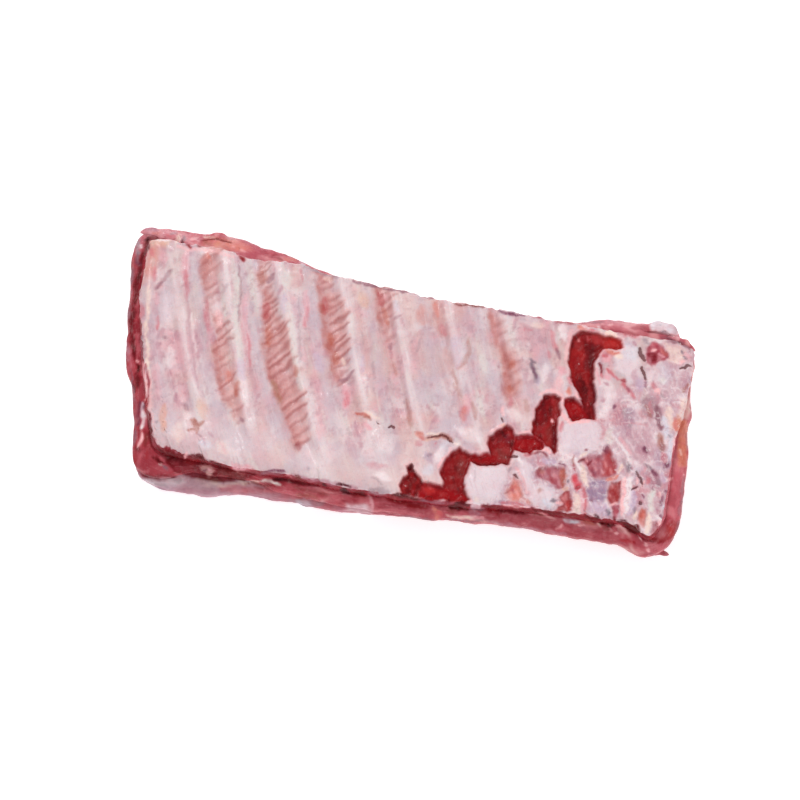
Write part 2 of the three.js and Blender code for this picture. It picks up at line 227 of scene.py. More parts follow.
# Tinted areas on the bone side: a tint, its strength, the softness of its edge and an outline.
BONE_SIDE_PATCHES = [
    ("pink", 0.8, 1.4, [(-170, 66), (-160, 65.5), (-148, 66), (-148, 72), (-158, 73), (-168, 73)]),
    ("salmon", 0.5, 2.4, [(-161, 61), (-155, 61), (-153, 50), (-154, 42), (-157, 36), (-159.5, 33),
     (-161, 42)]),
    ("tan", 0.6, 1.6, [(-165, 66), (-156, 66.5), (-150, 65), (-152, 61), (-161, 60), (-165, 63)]),
    ("greige", 0.5, 2.2, [(-146, 60), (-140, 60), (-138, 48), (-142, 40), (-147, 48)]),
    ("pale", 0.6, 2.5, [(-144, 34), (-138, 34), (-133, 18), (-137, 12), (-143, 18)]),
    ("blue", 0.85, 1.6, [(118, -31), (127, -29.5), (128, -36), (127, -43), (119, -44), (117, -38)]),
    ("lilac", 0.8, 1.4, [(119, -43), (128, -43), (132, -47), (131, -51), (120, -50), (120, -46)]),
    ("grey", 0.45, 2.0, [(139, 19), (141, 23), (145, 24.5), (148.5, 22), (148.5, 17), (147, 11), (144, 12),
                         (141, 13)]),
    ("claret", 0.6, 1.2, [(155, -49), (158, -47.5), (160, -50), (161.5, -54), (160, -57), (157, -56),
                          (155.5, -53)]),
    ("scarlet", 0.8, 1.2, [(116, 55), (120, 56), (123, 55.5), (124, 51), (121, 49.5), (117, 50.5),
     (114, 50)]),
    ("cream", 0.75, 1.8, [(148, 58), (153, 58.5), (160, 56.5), (160, 51), (156, 48), (151, 48), (150, 53)]),
    ("greige", 0.6, 1.4, [(131, 55), (134, 59), (138, 60), (138.5, 57), (136, 53), (134, 50)]),
    ("ice", 0.5, 2.0, [(124, 56), (128, 58), (132, 53), (132, 45), (127, 44), (124, 49)]),
    ("ice", 0.5, 2.2, [(146, 45), (152, 46), (155, 40), (152, 33), (147, 35)]),
    ("greige", 0.5, 1.8, [(139, 31), (142, 30), (143, 23), (139, 22)]),
    ("cream", 0.8, 1.2, [(110, -40), (113, -40.5), (115.5, -46), (116, -51.5), (111.5, -52), (111, -46)]),
    ("white", 0.7, 1.6, [(98, -18.5), (105, -18.5), (106, -23), (103, -25), (98.5, -24)]),
    ("white", 0.6, 2.0, [(115, 30), (120, 31), (124, 22), (122, 8), (117, 6), (116, 18)]),
    ("rose", 0.6, 2.2, [(110, 48), (114, 49), (120, 47), (119, 42), (113, 40.5), (111, 43)]),
    ("dusky", 0.4, 2.4, [(139, 23), (145, 24), (149, 19), (148, 11), (142, 13)]),
    ("mauve", 0.45, 3.0, [(126, 10), (134, 12), (138, 2), (132, -6), (127, 0)]),
    ("mauve", 0.45, 2.6, [(140, 4), (147, 4), (150, -10), (146, -18), (141, -10)]),
    ("white", 0.55, 1.8, [(120, 25), (124, 22), (125, 8), (121, 2), (117, 8)]),
    ("white", 0.7, 1.2, [(137.5, -27), (141, -27), (142, -38), (141.5, -48), (138.5, -48)]),
    ("plum", 0.4, 1.6, [(149, -18), (155, -19), (157, -27), (152, -28)]),
    ("sage", 0.6, 1.6, [(121, -2), (125, 0), (128, -6), (125, -9), (122, -7)]),
]

# Tints drawn on the bone side: a tint, its strength, a half width and a line.
BONE_SIDE_MARKS = [
    # Left end
    ("white", 0.8, 0.9, [(-167, 66), (-164, 64.8), (-158, 64.3), (-151, 65)]),
    ("brown", 0.5, 0.8, [(-160, 67.2), (-155.5, 67)]),
    ("rose", 0.5, 1.6, [(-160, 58), (-158, 54)]),
    ("greige", 0.5, 1.6, [(-157, 51), (-156.5, 47)]),
    ("brown", 0.5, 1.1, [(-160, 34), (-159, 30)]),
    ("greige", 0.5, 2.0, [(-156, 33), (-156, 27)]),
    ("rose", 0.5, 1.4, [(-157.5, 23), (-155, 18), (-154.5, 14)]),
    ("slate", 0.65, 0.8, [(-156.2, 10), (-155.5, 8)]),
    ("white", 0.7, 0.6, [(-158, 14), (-157, 9)]),
    ("rose", 0.4, 1.4, [(-154, 10), (-152.5, 5)]),
    ("mauve", 0.5, 1.0, [(-151, 5), (-150, 1)]),
    ("cream", 0.8, 1.2, [(-155.5, 36), (-153.5, 30), (-152, 22), (-150.5, 13), (-149, 4)]),
    ("cream", 0.9, 0.9, [(-149, 5), (-147.2, 0), (-145.2, -6), (-143.5, -12), (-140, -20)]),
    ("blush", 0.6, 0.8, [(-141, -18), (-138, -25), (-136, -32), (-134, -39), (-132, -45), (-129, -52)]),
    ("rose", 0.55, 1.2, [(-155, 47), (-153.5, 42), (-152.5, 38)]),
    ("pink", 0.6, 2.6, [(-152, 57), (-149.5, 51)]),
    ("dusky", 0.5, 1.4, [(-144.5, 47), (-146.5, 42), (-148, 38)]),
    ("dusky", 0.65, 1.5, [(-147.5, 39), (-150, 33)]),
    ("pink", 0.55, 1.6, [(-149, 30), (-147, 24)]),
    ("mauve", 0.3, 1.3, [(-148, 24), (-146, 17)]),
    ("rose", 0.6, 1.1, [(-144.5, 16), (-143.2, 9)]),
    ("pink", 0.5, 1.6, [(-138, 8), (-134, 7)]),
    ("dusky", 0.5, 0.9, [(-138.5, 5), (-136.5, 4)]),
    ("mauve", 0.4, 1.0, [(-141, 1), (-139.5, -3)]),
    ("white", 0.6, 2.6, [(-133, -2), (-130, -12)]),
    ("mauve", 0.35, 0.9, [(-130, -14), (-128.5, -18)]),
    ("pink", 0.5, 2.2, [(-138, -13), (-136, -22)]),
    ("pink", 0.6, 2.4, [(-139, 60), (-137.5, 52), (-135.5, 44)]),
    ("rose", 0.5, 1.3, [(-136.5, 48), (-133.5, 39), (-130.5, 30)]),
    ("mauve", 0.4, 1.5, [(-130, 29), (-127, 19), (-123, 7), (-119, -4), (-115, -14), (-111, -22)]),
    ("white", 0.5, 1.3, [(-126, 22), (-122, 10), (-118, 0)]),
    ("greige", 0.45, 2.6, [(-129, 40), (-126, 30), (-121, 21)]),
    ("grey", 0.35, 1.8, [(-121, 24), (-117, 14), (-113, 6)]),
    ("rose", 0.5, 1.8, [(-119.5, 32), (-118, 27), (-116, 20), (-113.5, 14)]),
    ("blush", 0.5, 1.7, [(-111.5, 28), (-109, 22), (-107, 17)]),
    ("grey", 0.35, 1.2, [(-110, 45), (-111, 38)]),
    ("mauve", 0.7, 1.3, [(-123, -28), (-121, -33)]),
    ("dusky", 0.6, 1.4, [(-116, -33), (-113.5, -36)]),
    ("mauve", 0.35, 1.2, [(-127, -20), (-124, -26)]),
    ("tan", 0.45, 3.0, [(-108, -29), (-104, -38)]),
    ("cream", 0.5, 3.0, [(-117, -46), (-114, -56)]),
    ("slate", 0.55, 0.8, [(-130, -46.5), (-128.5, -48)]),
    ("orange", 0.45, 1.8, [(-127.5, -36), (-126, -44), (-124, -52)]),
    ("brown", 0.75, 1.4, [(-110, -41), (-107, -44), (-105, -48.5)]),
    ("brown", 0.85, 1.1, [(-103.5, -41), (-106, -45)]),
    ("brown", 0.85, 0.9, [(-110, -48.3), (-106, -47)]),
    ("dusky", 0.5, 0.6, [(-104, -49), (-101.5, -51)]),
    ("mauve", 0.55, 0.6, [(-99, -47.5), (-96, -49.5)]),
    ("ice", 0.85, 3.0, [(-102, -54.5), (-96, -55)]),
    ("mauve", 0.35, 0.7, [(-100.5, -51), (-99, -56)]),
    ("cream", 0.4, 2.6, [(-92, -51), (-86, -57)]),
    ("pink", 0.5, 0.8, [(-91, -51), (-86, -57)]),
    ("crimson", 0.85, 0.9, [(-139.5, 65.3), (-138, 64), (-136.5, 63)]),
    ("maroon", 0.7, 0.8, [(-133.5, 66), (-130.5, 65.3)]),
    ("umber", 0.6, 0.7, [(-111, 67), (-108.5, 65.8), (-107, 64.5)]),
    ("crimson", 0.95, 1.4, [(-107, 64), (-105, 62.3), (-103.2, 61)]),
    ("blush", 0.6, 1.3, [(-144, 63), (-139, 61), (-134, 63), (-121, 64.5), (-110, 63)]),
    ("salmon", 0.6, 1.4, [(-126, 62), (-124, 58)]),
    # Second and third rib
    # Painted highlights: pale sage and white bands along a rib's ridge.
    ("sage", 0.75, 2.6, [(-105.5, 52), (-103, 42), (-100.5, 30), (-98, 19), (-94, 8), (-91, -1)]),
    ("white", 0.55, 2.2, [(-90, -6), (-86, -16), (-81, -27)]),
    ("dusky", 0.5, 0.7, [(-107, 60), (-103.5, 50), (-101, 40), (-99.5, 31), (-98, 23)]),
    ("pink", 0.55, 2.6, [(-98, 40), (-96, 28), (-92, 15), (-88, 4)]),
    ("rose", 0.5, 0.8, [(-91, 16), (-88.5, 9), (-86, 1), (-84.5, -3)]),
    ("mauve", 0.35, 1.6, [(-84, -4), (-80, -14), (-76, -24)]),
    ("lilac", 0.5, 2.4, [(-92, 0), (-87, -12)]),
    ("brown", 0.4, 3.0, [(-92, 57), (-90, 50)]),
    ("dusky", 0.6, 1.0, [(-84.5, 57), (-87, 50)]),
    ("mauve", 0.5, 1.3, [(-78, 50), (-80, 43)]),
    ("sage", 0.6, 3.0, [(-78, 60), (-75, 50)]),
    ("lilac", 0.5, 2.4, [(-76, 44), (-73, 34)]),
    ("rose", 0.45, 0.7, [(-69.5, 62), (-67, 55)]),
    # Painted highlight: a pale sage band along a rib's ridge.
    ("sage", 0.5, 2.0, [(-72, 40), (-67, 26), (-62, 12), (-57, 0), (-52, -12)]),
    ("pink", 0.6, 1.7, [(-63.5, 50), (-61.5, 40), (-59, 28)]),
    ("rose", 0.45, 1.1, [(-61, 40), (-58.5, 28)]),
    ("greige", 0.5, 1.8, [(-57, 22), (-53, 10), (-50, 0)]),
    ("grey", 0.35, 0.9, [(-67, 45), (-62, 25), (-57, 5)]),
    ("pink", 0.35, 2.4, [(-48, 2), (-44, -8), (-40, -20), (-36, -38)]),
    ("lilac", 0.5, 2.6, [(-49, 12), (-44, 2)]),
    ("rust", 0.55, 1.8, [(-80, 24), (-78.5, 17), (-77, 11)]),
    ("olive", 0.35, 1.6, [(-70, -9), (-66, -16), (-63, -21)]),
    ("rust", 0.4, 1.8, [(-59, 2), (-57.5, -3)]),
    ("red", 0.4, 2.4, [(-84, 36), (-83, 28)]),
    ("rust", 0.5, 1.6, [(-89.5, -14), (-88, -22)]),
    ("salmon", 0.5, 1.8, [(-96.5, -8), (-94, -14)]),
    ("dusky", 0.6, 1.2, [(-83, -35), (-80.5, -37.5)]),
    ("maroon", 0.35, 2.0, [(-48, -43), (-46, -47)]),
    # Fourth rib and on
    ("red", 0.35, 2.2, [(-51, 48), (-50, 38)]),
    ("rust", 0.65, 1.7, [(-44, 26), (-41.5, 19)]),
    ("rust", 0.5, 1.9, [(-38, 15), (-37, 8)]),
    ("cream", 0.7, 1.3, [(-33.5, 13), (-32, 9)]),
    ("dusky", 0.65, 1.0, [(-33, -1.5), (-30, -1.5), (-27.5, 2), (-25.5, 6)]),
    ("cream", 0.5, 1.6, [(-55, 60), (-50, 59)]),
    ("pink", 0.7, 2.2, [(-28.5, -4), (-26, -12), (-25.5, -17)]),
    ("rose", 0.5, 1.7, [(-27, -8), (-25.5, -15)]),
    ("tan", 0.5, 3.0, [(-31, 54), (-27, 47)]),
    ("grey", 0.4, 0.9, [(-26.5, 31), (-24, 22)]),
    ("sage", 0.45, 1.6, [(-34, 40), (-31, 28)]),
    ("greige", 0.5, 1.5, [(-18, 24), (-15, 14)]),
    ("grey", 0.5, 0.8, [(-15.5, 14), (-13, 3)]),
    ("lilac", 0.5, 1.4, [(-22, 16), (-21, 6)]),
    ("dusky", 0.65, 1.2, [(-8.5, 26.5), (-8, 23)]),
    ("mauve", 0.55, 1.2, [(-8, 22), (-6, 17)]),
    ("brown", 0.35, 1.2, [(-4, 15), (-1, 8)]),
    ("dusky", 0.4, 1.0, [(-9.5, 43), (-6, 45.5)]),
    ("ice", 0.6, 1.4, [(-11, 54), (-9, 48)]),
    ("rust", 0.45, 1.6, [(-17, 48), (-13, 38)]),
    ("red", 0.35, 1.8, [(-21, 57), (-18.5, 50)]),
    ("pink", 0.55, 1.3, [(-18, 57), (-16, 53)]),
    ("mauve", 0.4, 1.6, [(-18.5, -24), (-16, -32), (-12, -38)]),
    ("grey", 0.3, 1.2, [(-26, -30), (-24, -34)]),
    ("mauve", 0.3, 2.6, [(-20, -35), (-14, -45)]),
    ("orange_red", 0.85, 1.0, [(-19, -19.5), (-14, -19), (-11, -20.5)]),
    ("brown", 0.8, 0.8, [(-14, -20.5), (-10.5, -21)]),
    ("cream", 0.8, 1.1, [(-15, -17.5), (-10, -18.8), (-6, -20)]),
    ("pink", 0.8, 1.4, [(-13, -24), (-8, -26.5)]),
    ("mauve", 0.45, 1.2, [(-18, -24.5), (-17, -28)]),
    ("white", 0.5, 5.5, [(-2, -30), (4, -38)]),
    ("rose", 0.3, 1.8, [(-7, -48), (0, -47.5), (5, -46.5)]),
    ("white", 0.8, 1.8, [(-1, -52), (8, -53.5)]),
    ("grey", 0.6, 0.6, [(-3, -54.5), (0, -55.5), (4, -57)]),
    ("slate", 0.35, 0.8, [(-39, -56), (-38, -57.2)]),
    ("brown", 0.4, 1.5, [(8, -4), (10, -12), (13.5, -20)]),
    ("salmon", 0.35, 3.0, [(5, 53), (7, 43)]),
    ("grey", 0.5, 0.8, [(8.5, 34), (7, 25)]),
    ("salmon", 0.6, 1.6, [(12, 57), (15, 50)]),
    ("rose", 0.35, 2.0, [(19, 44), (22, 38)]),
    ("brown", 0.35, 1.5, [(35, 39), (37.5, 31), (36, 25), (33.5, 20)]),
    ("brown", 0.3, 1.3, [(30, 18), (34, 9), (38, 3)]),
    ("lilac", 0.4, 3.0, [(28, 38), (32, 22)]),
    ("sage", 0.5, 2.2, [(46, 30), (48, 16), (50, 4)]),
    ("pink", 0.6, 2.6, [(41, 4), (42.5, -4)]),
    ("rose", 0.5, 2.4, [(40.5, -2), (41.5, -11)]),
    ("salmon", 0.5, 1.3, [(40.5, -3), (41.5, -11.5)]),
    ("brown", 0.35, 1.3, [(45, 1), (48.5, -9)]),
    ("mauve", 0.4, 0.9, [(24.5, -14), (23.5, -20)]),
    ("grey", 0.3, 1.0, [(52, -13), (53, -15)]),
    ("white", 0.7, 4.0, [(40, -18), (52, -20)]),
    ("rust", 0.5, 1.7, [(62.5, 30), (62.5, 25)]),
    ("rust", 0.5, 1.5, [(64, 15), (64.5, 11)]),
    ("rose", 0.5, 1.5, [(65.5, 8), (67, 3.5)]),
    ("pink", 0.4, 2.8, [(64, 52), (66, 44)]),
    ("cream", 0.6, 2.2, [(70, 55), (76, 55)]),
    ("rose", 0.35, 0.9, [(66, 51), (70, 51)]),
    ("rose", 0.6, 1.3, [(82, 53), (84.5, 46), (86, 42)]),
    ("dusky", 0.85, 0.8, [(85.5, 44), (89, 36.5)]),
    ("rose", 0.45, 1.3, [(82, 40), (84, 36)]),
    ("white", 0.5, 2.6, [(88, 58), (90, 50)]),
    ("blush", 0.3, 1.4, [(93.5, 56), (92.5, 48), (92.5, 38)]),
    ("pink", 0.6, 2.4, [(90, 31), (94, 30)]),
    ("blush", 0.35, 2.8, [(91, 26), (90.5, 18)]),
    ("rose", 0.5, 1.4, [(96.5, 27), (98.5, 23)]),
    ("salmon", 0.65, 1.2, [(97, 21), (98.5, 16)]),
    ("blush", 0.7, 1.1, [(101, 19), (104, 15.5)]),
    ("slate", 0.9, 1.1, [(72.5, 33), (76.2, 32.5)]),
    ("slate", 0.8, 1.5, [(73.8, 31), (76, 27)]),
    ("slate", 0.8, 1.4, [(76, 27), (78.8, 20.5)]),
    ("plum", 0.5, 0.8, [(75, 28.5), (78, 23)]),
    ("lilac", 0.5, 1.4, [(79, 24), (79.5, 19)]),
    ("white", 0.7, 2.0, [(82, 32), (82.5, 22)]),
    ("brown", 0.35, 1.6, [(75, 8), (76, 1)]),
    ("white", 0.55, 4.2, [(66, -1), (74, -4)]),
    ("blush", 0.7, 1.0, [(62, 2), (63, -3)]),
    ("rose", 0.5, 1.2, [(97, 0), (97, -7)]),
    # Front edge by the cut
    ("orange_red", 0.6, 0.9, [(16.5, -23), (20.5, -24)]),
    ("claret", 0.5, 1.2, [(19.5, -26), (22, -26.5)]),
    ("salmon", 0.6, 1.4, [(17, -24.5), (23, -26.5)]),
    ("brown", 0.75, 1.3, [(23.5, -25.4), (28, -23.4), (32, -22), (35, -23), (38, -25.3)]),
    # Painted highlight: a cream line along the torn crack's upper lip.
    ("cream", 0.95, 0.9, [(23, -23), (27, -22), (30, -20.8)]),
    ("tan", 0.8, 0.7, [(24, -26.6), (30, -24.6)]),
    ("rose", 0.4, 1.5, [(18, -29), (22, -30)]),
    ("rose", 0.5, 0.7, [(29, -27.5), (28, -29)]),
    ("blue", 0.5, 2.6, [(25, -35), (29, -38)]),
    ("slate", 0.4, 1.0, [(26, -36), (28, -34)]),
    ("ice", 0.7, 2.8, [(29, -42), (26, -46)]),
    ("white", 0.7, 2.4, [(33, -30), (31, -38)]),
    ("ice", 0.5, 1.4, [(36, -26), (33, -30)]),
    ("cream", 0.7, 1.2, [(39, -26), (42, -26.5)]),
    ("blush", 0.8, 0.9, [(38.5, -29), (36.5, -33), (34, -37), (33, -42)]),
    ("blush", 0.7, 0.9, [(57.5, -15), (61.5, -11.5), (64.5, -8.5)]),
    ("tan", 0.7, 1.0, [(63.5, -9.5), (65.5, -10.5)]),
    ("blush", 0.7, 0.9, [(74, -12), (80, -9.5), (82, -7)]),
    ("blush", 0.8, 1.0, [(82, 13), (86, 16.5), (91, 17), (94.5, 15), (96, 8)]),
    ("blush", 0.8, 1.0, [(95.5, 6), (97.5, 3), (102, -0.5), (107, 1.5), (112, 3.5)]),
    ("blush", 0.8, 0.8, [(88.5, -18.8), (91.5, -18.5), (93.5, -20.5)]),
    ("maroon", 0.75, 0.8, [(83.5, -23), (86.5, -20.7), (89, -20.5), (92, -22)]),
    ("claret", 0.7, 1.1, [(80, -24), (83, -23)]),
    ("white", 0.8, 0.9, [(76, -25), (77.5, -28.5), (80, -31)]),
    ("blush", 0.7, 0.9, [(76, -33), (79, -36), (82, -40), (84.5, -46)]),
    ("slate", 0.5, 0.6, [(72.5, -33), (72.8, -36)]),
    ("dusky", 0.6, 0.9, [(76, -37.5), (78, -38.8)]),
    ("plum", 0.5, 1.0, [(73.5, -48), (74.5, -49)]),
    ("cream", 0.7, 1.0, [(57, -54), (59, -59)]),
    ("blush", 0.7, 0.8, [(55, -55.5), (56, -58.5), (59, -60)]),
    ("grey", 0.35, 0.5, [(53.5, -37), (54.5, -45)]),
    # Beyond the cut, front part
    ("lilac", 0.6, 2.0, [(90, -25), (97, -25.5)]),
    ("rust", 0.8, 2.0, [(102, -28.5), (102.8, -33), (103.5, -38)]),
    ("brown", 0.5, 1.4, [(89, -31), (91, -33)]),
    ("plum", 0.6, 0.6, [(99.3, -26), (103, -26.2)]),
    ("claret", 0.5, 1.8, [(96, -35), (99, -38)]),
    ("scarlet", 0.5, 1.0, [(108.3, -46.5), (109, -51)]),
    ("blush", 0.85, 0.7, [(101.5, -47.8), (105.5, -48)]),
    ("slate", 0.75, 1.0, [(98.7, -47.5), (101.2, -47)]),
    ("ice", 0.7, 1.8, [(95, -47.5), (98, -51)]),
    ("brown", 0.25, 1.3, [(91, -42.5), (91.5, -44.5)]),
    ("salmon", 0.6, 1.3, [(84, -50), (87.5, -52)]),
    ("tan", 0.6, 0.9, [(104, -40), (107, -38.5)]),
    ("claret", 0.8, 0.8, [(111, -37.5), (113, -36.3)]),
    ("claret", 0.6, 0.8, [(107, -24), (108.7, -28)]),
    ("brown", 0.4, 0.6, [(106.2, -19.5), (106.8, -24)]),
    ("cream", 0.7, 1.3, [(111.5, -25), (114.5, -30), (117, -35)]),
    ("white", 0.8, 0.9, [(107.5, -20), (109, -23), (111.5, -27)]),
    ("rose", 0.65, 0.9, [(114.5, -36), (116.5, -41), (117.8, -46), (118.8, -52)]),
    ("pink", 0.6, 1.0, [(114, -39), (116.5, -46), (117, -51)]),
    ("slate", 0.6, 0.6, [(106, -34.5), (106.4, -36)]),
    ("maroon", 0.75, 0.7, [(109.5, -22.3), (113, -21.2)]),
    ("maroon", 0.6, 0.8, [(114.5, -23.5), (116.3, -20.8)]),
    ("blush", 0.7, 0.6, [(113, -19.8), (114.2, -22)]),
    ("pink", 0.5, 0.6, [(117, -19), (118, -21)]),
    ("plum", 0.5, 1.3, [(123.7, -9.5), (124.3, -15)]),
    ("plum", 0.3, 1.2, [(118, -26), (121, -28)]),
    ("blush", 0.35, 0.6, [(124.5, -19), (126, -23)]),
    ("salmon", 0.8, 1.1, [(126.5, -29.8), (130, -28), (133, -26)]),
    ("cream", 0.6, 0.9, [(133, -24), (134.5, -19)]),
    ("slate", 0.45, 1.2, [(130.5, -47), (131, -49)]),
    ("plum", 0.3, 0.9, [(120, -42.5), (121, -44)]),
    ("blush", 0.85, 1.0, [(137, -27), (137.8, -35), (138, -42), (139, -48)]),
    ("blush", 0.8, 0.8, [(132, -44), (135, -42.3)]),
    ("maroon", 0.7, 0.8, [(134, -50.5), (134.6, -52.5)]),
    ("maroon", 0.6, 0.6, [(112.4, -15.2), (113.6, -14.6)]),
    ("cream", 0.6, 0.7, [(110, -19.5), (114, -16.5)]),
    ("white", 0.8, 0.9, [(127, -4), (132, -8), (136, -13), (139, -18)]),
    ("pink", 0.6, 1.0, [(131, -4), (135, -8), (138, -12)]),
    ("slate", 0.5, 1.4, [(137.6, -18), (138.5, -23)]),
    ("grey", 0.4, 1.2, [(134.5, -16.5), (135.5, -19)]),
    ("white", 0.75, 1.6, [(141, -26), (140, -31), (140.5, -38), (141, -46)]),
    ("lilac", 0.7, 1.5, [(142.5, -33), (143.5, -40), (143, -47)]),
    ("blush", 0.8, 0.6, [(144, -25), (144.6, -29)]),
    ("slate", 0.4, 0.9, [(144.5, -42), (145.5, -46)]),
    ("cream", 0.75, 0.9, [(146.6, -44), (146, -49.5)]),
    ("cream", 0.8, 0.9, [(153.2, -45), (154, -50), (154, -55)]),
    ("plum", 0.5, 0.7, [(147.8, -34), (148.6, -36)]),
    ("sage", 0.75, 1.8, [(154, -30), (152.5, -36), (154, -43)]),
    ("blush", 0.6, 0.6, [(148.5, -26), (148, -30)]),
    # Beyond the cut, right edge
    ("dusky", 0.75, 1.4, [(149, 20), (150.3, 13), (152, 8.5), (153, 6.5)]),
    ("brown", 0.35, 1.0, [(143, 19), (146, 12.5)]),
    ("rose", 0.35, 0.9, [(144.5, 21), (146.5, 15)]),
    ("brown", 0.5, 1.9, [(153, 3), (153.5, -2), (155, -7)]),
    ("dusky", 0.5, 1.2, [(153.8, -2), (155, -6.5)]),
    ("plum", 0.6, 1.1, [(145, -6), (146.5, -9.3)]),
    ("plum", 0.65, 1.1, [(157.8, -15.3), (159.6, -13.7)]),
    ("rose", 0.45, 1.4, [(156, -8), (158, -13)]),
    ("grey", 0.5, 1.4, [(134.5, 5), (135.8, 3.5)]),
    ("plum", 0.55, 0.9, [(124.3, 15.5), (125, 13.5)]),
    ("mauve", 0.4, 1.2, [(117, 16), (118.5, 18)]),
    ("grey", 0.4, 2.6, [(131, 14), (134, 10)]),
    ("cream", 0.6, 2.0, [(155, 19), (157, 12), (157.5, 7)]),
    ("ice", 0.6, 1.6, [(153, 14), (156, 6), (156, 1)]),
    ("ice", 0.65, 1.5, [(158.5, 4), (160, -3), (160, -10)]),
    ("slate", 0.5, 0.8, [(157.5, 3.5), (158.7, 1.5)]),
    ("salmon", 0.8, 2.4, [(160, 13), (162, 8)]),
    ("blush", 0.85, 0.9, [(161.5, 3), (162, -2), (161.5, -7)]),
    ("plum", 0.7, 1.1, [(152, -19.5), (154, -22.3)]),
    ("mauve", 0.55, 2.4, [(150, -21), (153, -25), (156, -28)]),
    ("slate", 0.45, 1.0, [(147.5, -16.8), (151, -18.5)]),
    ("rose", 0.5, 0.9, [(150.3, -23.5), (150.3, -27)]),
    ("plum", 0.5, 1.0, [(152.8, -29), (153.5, -30.6)]),
    ("slate", 0.35, 1.4, [(155, -24), (157, -27)]),
    ("lilac", 0.5, 1.8, [(157, -20), (159, -25)]),
    ("plum", 0.6, 0.7, [(159.8, -33), (159.4, -36), (158.5, -38.5)]),
    ("blush", 0.7, 0.7, [(157.5, -31), (158, -34)]),
    ("plum", 0.55, 0.8, [(159.5, -44), (160.3, -46)]),
    ("plum", 0.5, 0.7, [(161.5, -42), (162.6, -44)]),
    ("plum", 0.5, 0.8, [(160, -30), (161.8, -30.6)]),
    ("maroon", 0.5, 0.7, [(162.6, -36), (163.5, -39)]),
    ("mauve", 0.5, 1.0, [(157, -40), (158, -43.5)]),
    ("ice", 0.6, 1.3, [(160.5, -38), (162, -41)]),
    ("white", 0.8, 1.0, [(157.5, -45.5), (160.5, -47.5)]),
    ("blush", 0.9, 1.1, [(159.7, -48), (161, -51)]),
    ("rose", 0.5, 1.0, [(162, -17), (162, -25)]),
    # Beyond the cut, back part
    ("salmon", 0.75, 1.3, [(114.5, 48), (118.5, 47.3), (122, 47)]),
    ("cream", 0.8, 1.1, [(121, 46), (124.5, 45)]),
    ("pink", 0.8, 1.4, [(113.5, 41.8), (116, 42.5), (117, 45)]),
    ("rose", 0.6, 1.0, [(113, 44), (115.5, 45)]),
    ("cream", 0.95, 1.3, [(113, 58), (116, 58.9), (119.3, 58)]),
    ("olive", 0.4, 0.6, [(115, 57.2), (118, 57.2)]),
    ("rose", 0.65, 1.5, [(121, 60), (127, 60.3), (131, 59.3)]),
    ("claret", 0.6, 0.9, [(122, 61), (127, 61.2)]),
    ("salmon", 0.6, 1.3, [(96.5, 58.5), (101, 58.7)]),
    ("rose", 0.7, 1.0, [(102, 57.8), (106, 58.3)]),
    ("blush", 0.7, 1.0, [(97, 60.5), (103, 60)]),
    ("mauve", 0.6, 0.8, [(129, 56.6), (131.3, 54)]),
    ("grey", 0.6, 1.3, [(135.5, 58.5), (137.5, 57)]),
    ("maroon", 0.6, 1.9, [(139.5, 50), (143, 49.5), (142.5, 46.5)]),
    ("rose", 0.5, 1.2, [(140, 56.5), (143, 57.5)]),
    ("salmon", 0.5, 1.4, [(146, 54), (149, 51.5)]),
    ("blush", 0.95, 1.0, [(140.8, 52.6), (143, 53.6)]),
    ("pink", 0.8, 0.7, [(144.5, 51), (148, 50)]),
    ("slate", 0.75, 0.8, [(157, 55.5), (158.8, 54)]),
    ("slate", 0.75, 0.8, [(160, 53), (161.5, 52)]),
    ("blush", 0.7, 1.0, [(157.5, 48), (161, 50)]),
    ("pink", 0.6, 1.6, [(160, 54.5), (163.5, 53)]),
    ("mauve", 0.3, 2.6, [(161, 43), (163, 32)]),
    ("brown", 0.4, 0.9, [(163.6, 37), (162, 30.5)]),
    ("sage", 0.5, 1.8, [(149, 37.5), (150, 34.5)]),
    ("rose", 0.4, 1.4, [(144.5, 33), (146, 30)]),
    ("blush", 0.55, 1.7, [(147, 29.5), (149, 27.5)]),
    ("grey", 0.4, 1.2, [(150.5, 28), (151.5, 25)]),
    ("plum", 0.35, 0.8, [(140, 33), (140.3, 30)]),
    ("maroon", 0.7, 0.8, [(111.3, 38.7), (113, 36.5), (114.5, 33.3)]),
    ("pink", 0.6, 0.9, [(111, 35), (113, 30), (114.5, 26)]),
    ("rose", 0.5, 0.8, [(114.5, 33), (116, 30.5)]),
    ("rose", 0.6, 0.8, [(117, 35.7), (121, 33.7), (124.5, 31.5)]),
    ("claret", 0.75, 1.3, [(126, 32), (128, 31)]),
    ("rose", 0.6, 1.3, [(127, 29.5), (130, 27), (134, 23.8), (136, 21.5)]),
    ("plum", 0.4, 0.8, [(130, 27.8), (132, 25.3)]),
    ("mauve", 0.6, 1.0, [(117.5, 28), (119, 26.5)]),
    ("pink", 0.7, 1.5, [(118, 33), (119.3, 30)]),
    ("mauve", 0.3, 2.2, [(133, 38), (135, 30)]),
    ("lilac", 0.5, 2.2, [(136, 34), (138, 28)]),
    # Dark tissue along the back edge
    ("grey", 0.85, 1.0, [(-68, 65), (-64, 64.2), (-60, 63.2), (-54, 62.4), (-47, 61.6)]),
    ("dusky", 0.95, 1.0, [(-38, 62), (-34, 61.3), (-28, 60.8), (-22, 60.5)]),
    ("dusky", 0.85, 0.8, [(-20, 60.6), (-14, 60.4), (-11, 60.9), (-6, 60.5), (0, 59.9)]),
    ("dusky", 0.75, 0.8, [(2, 59.8), (8, 59.6), (14, 59.8)]),
    ("umber", 0.8, 0.8, [(22, 59.7), (27, 59.1), (31, 59.5), (37, 59.7), (41, 59.9)]),
    ("plum", 0.85, 0.8, [(49, 59.7), (54, 59.1), (60, 59.3), (65, 59.6)]),
    ("claret", 0.8, 1.0, [(68, 60), (74, 60.4), (80, 60.4), (88, 60), (94, 60)]),
    ("dusky", 0.8, 1.0, [(144, 62), (149, 62), (154, 61.2), (159, 60), (163, 58.2)]),
]

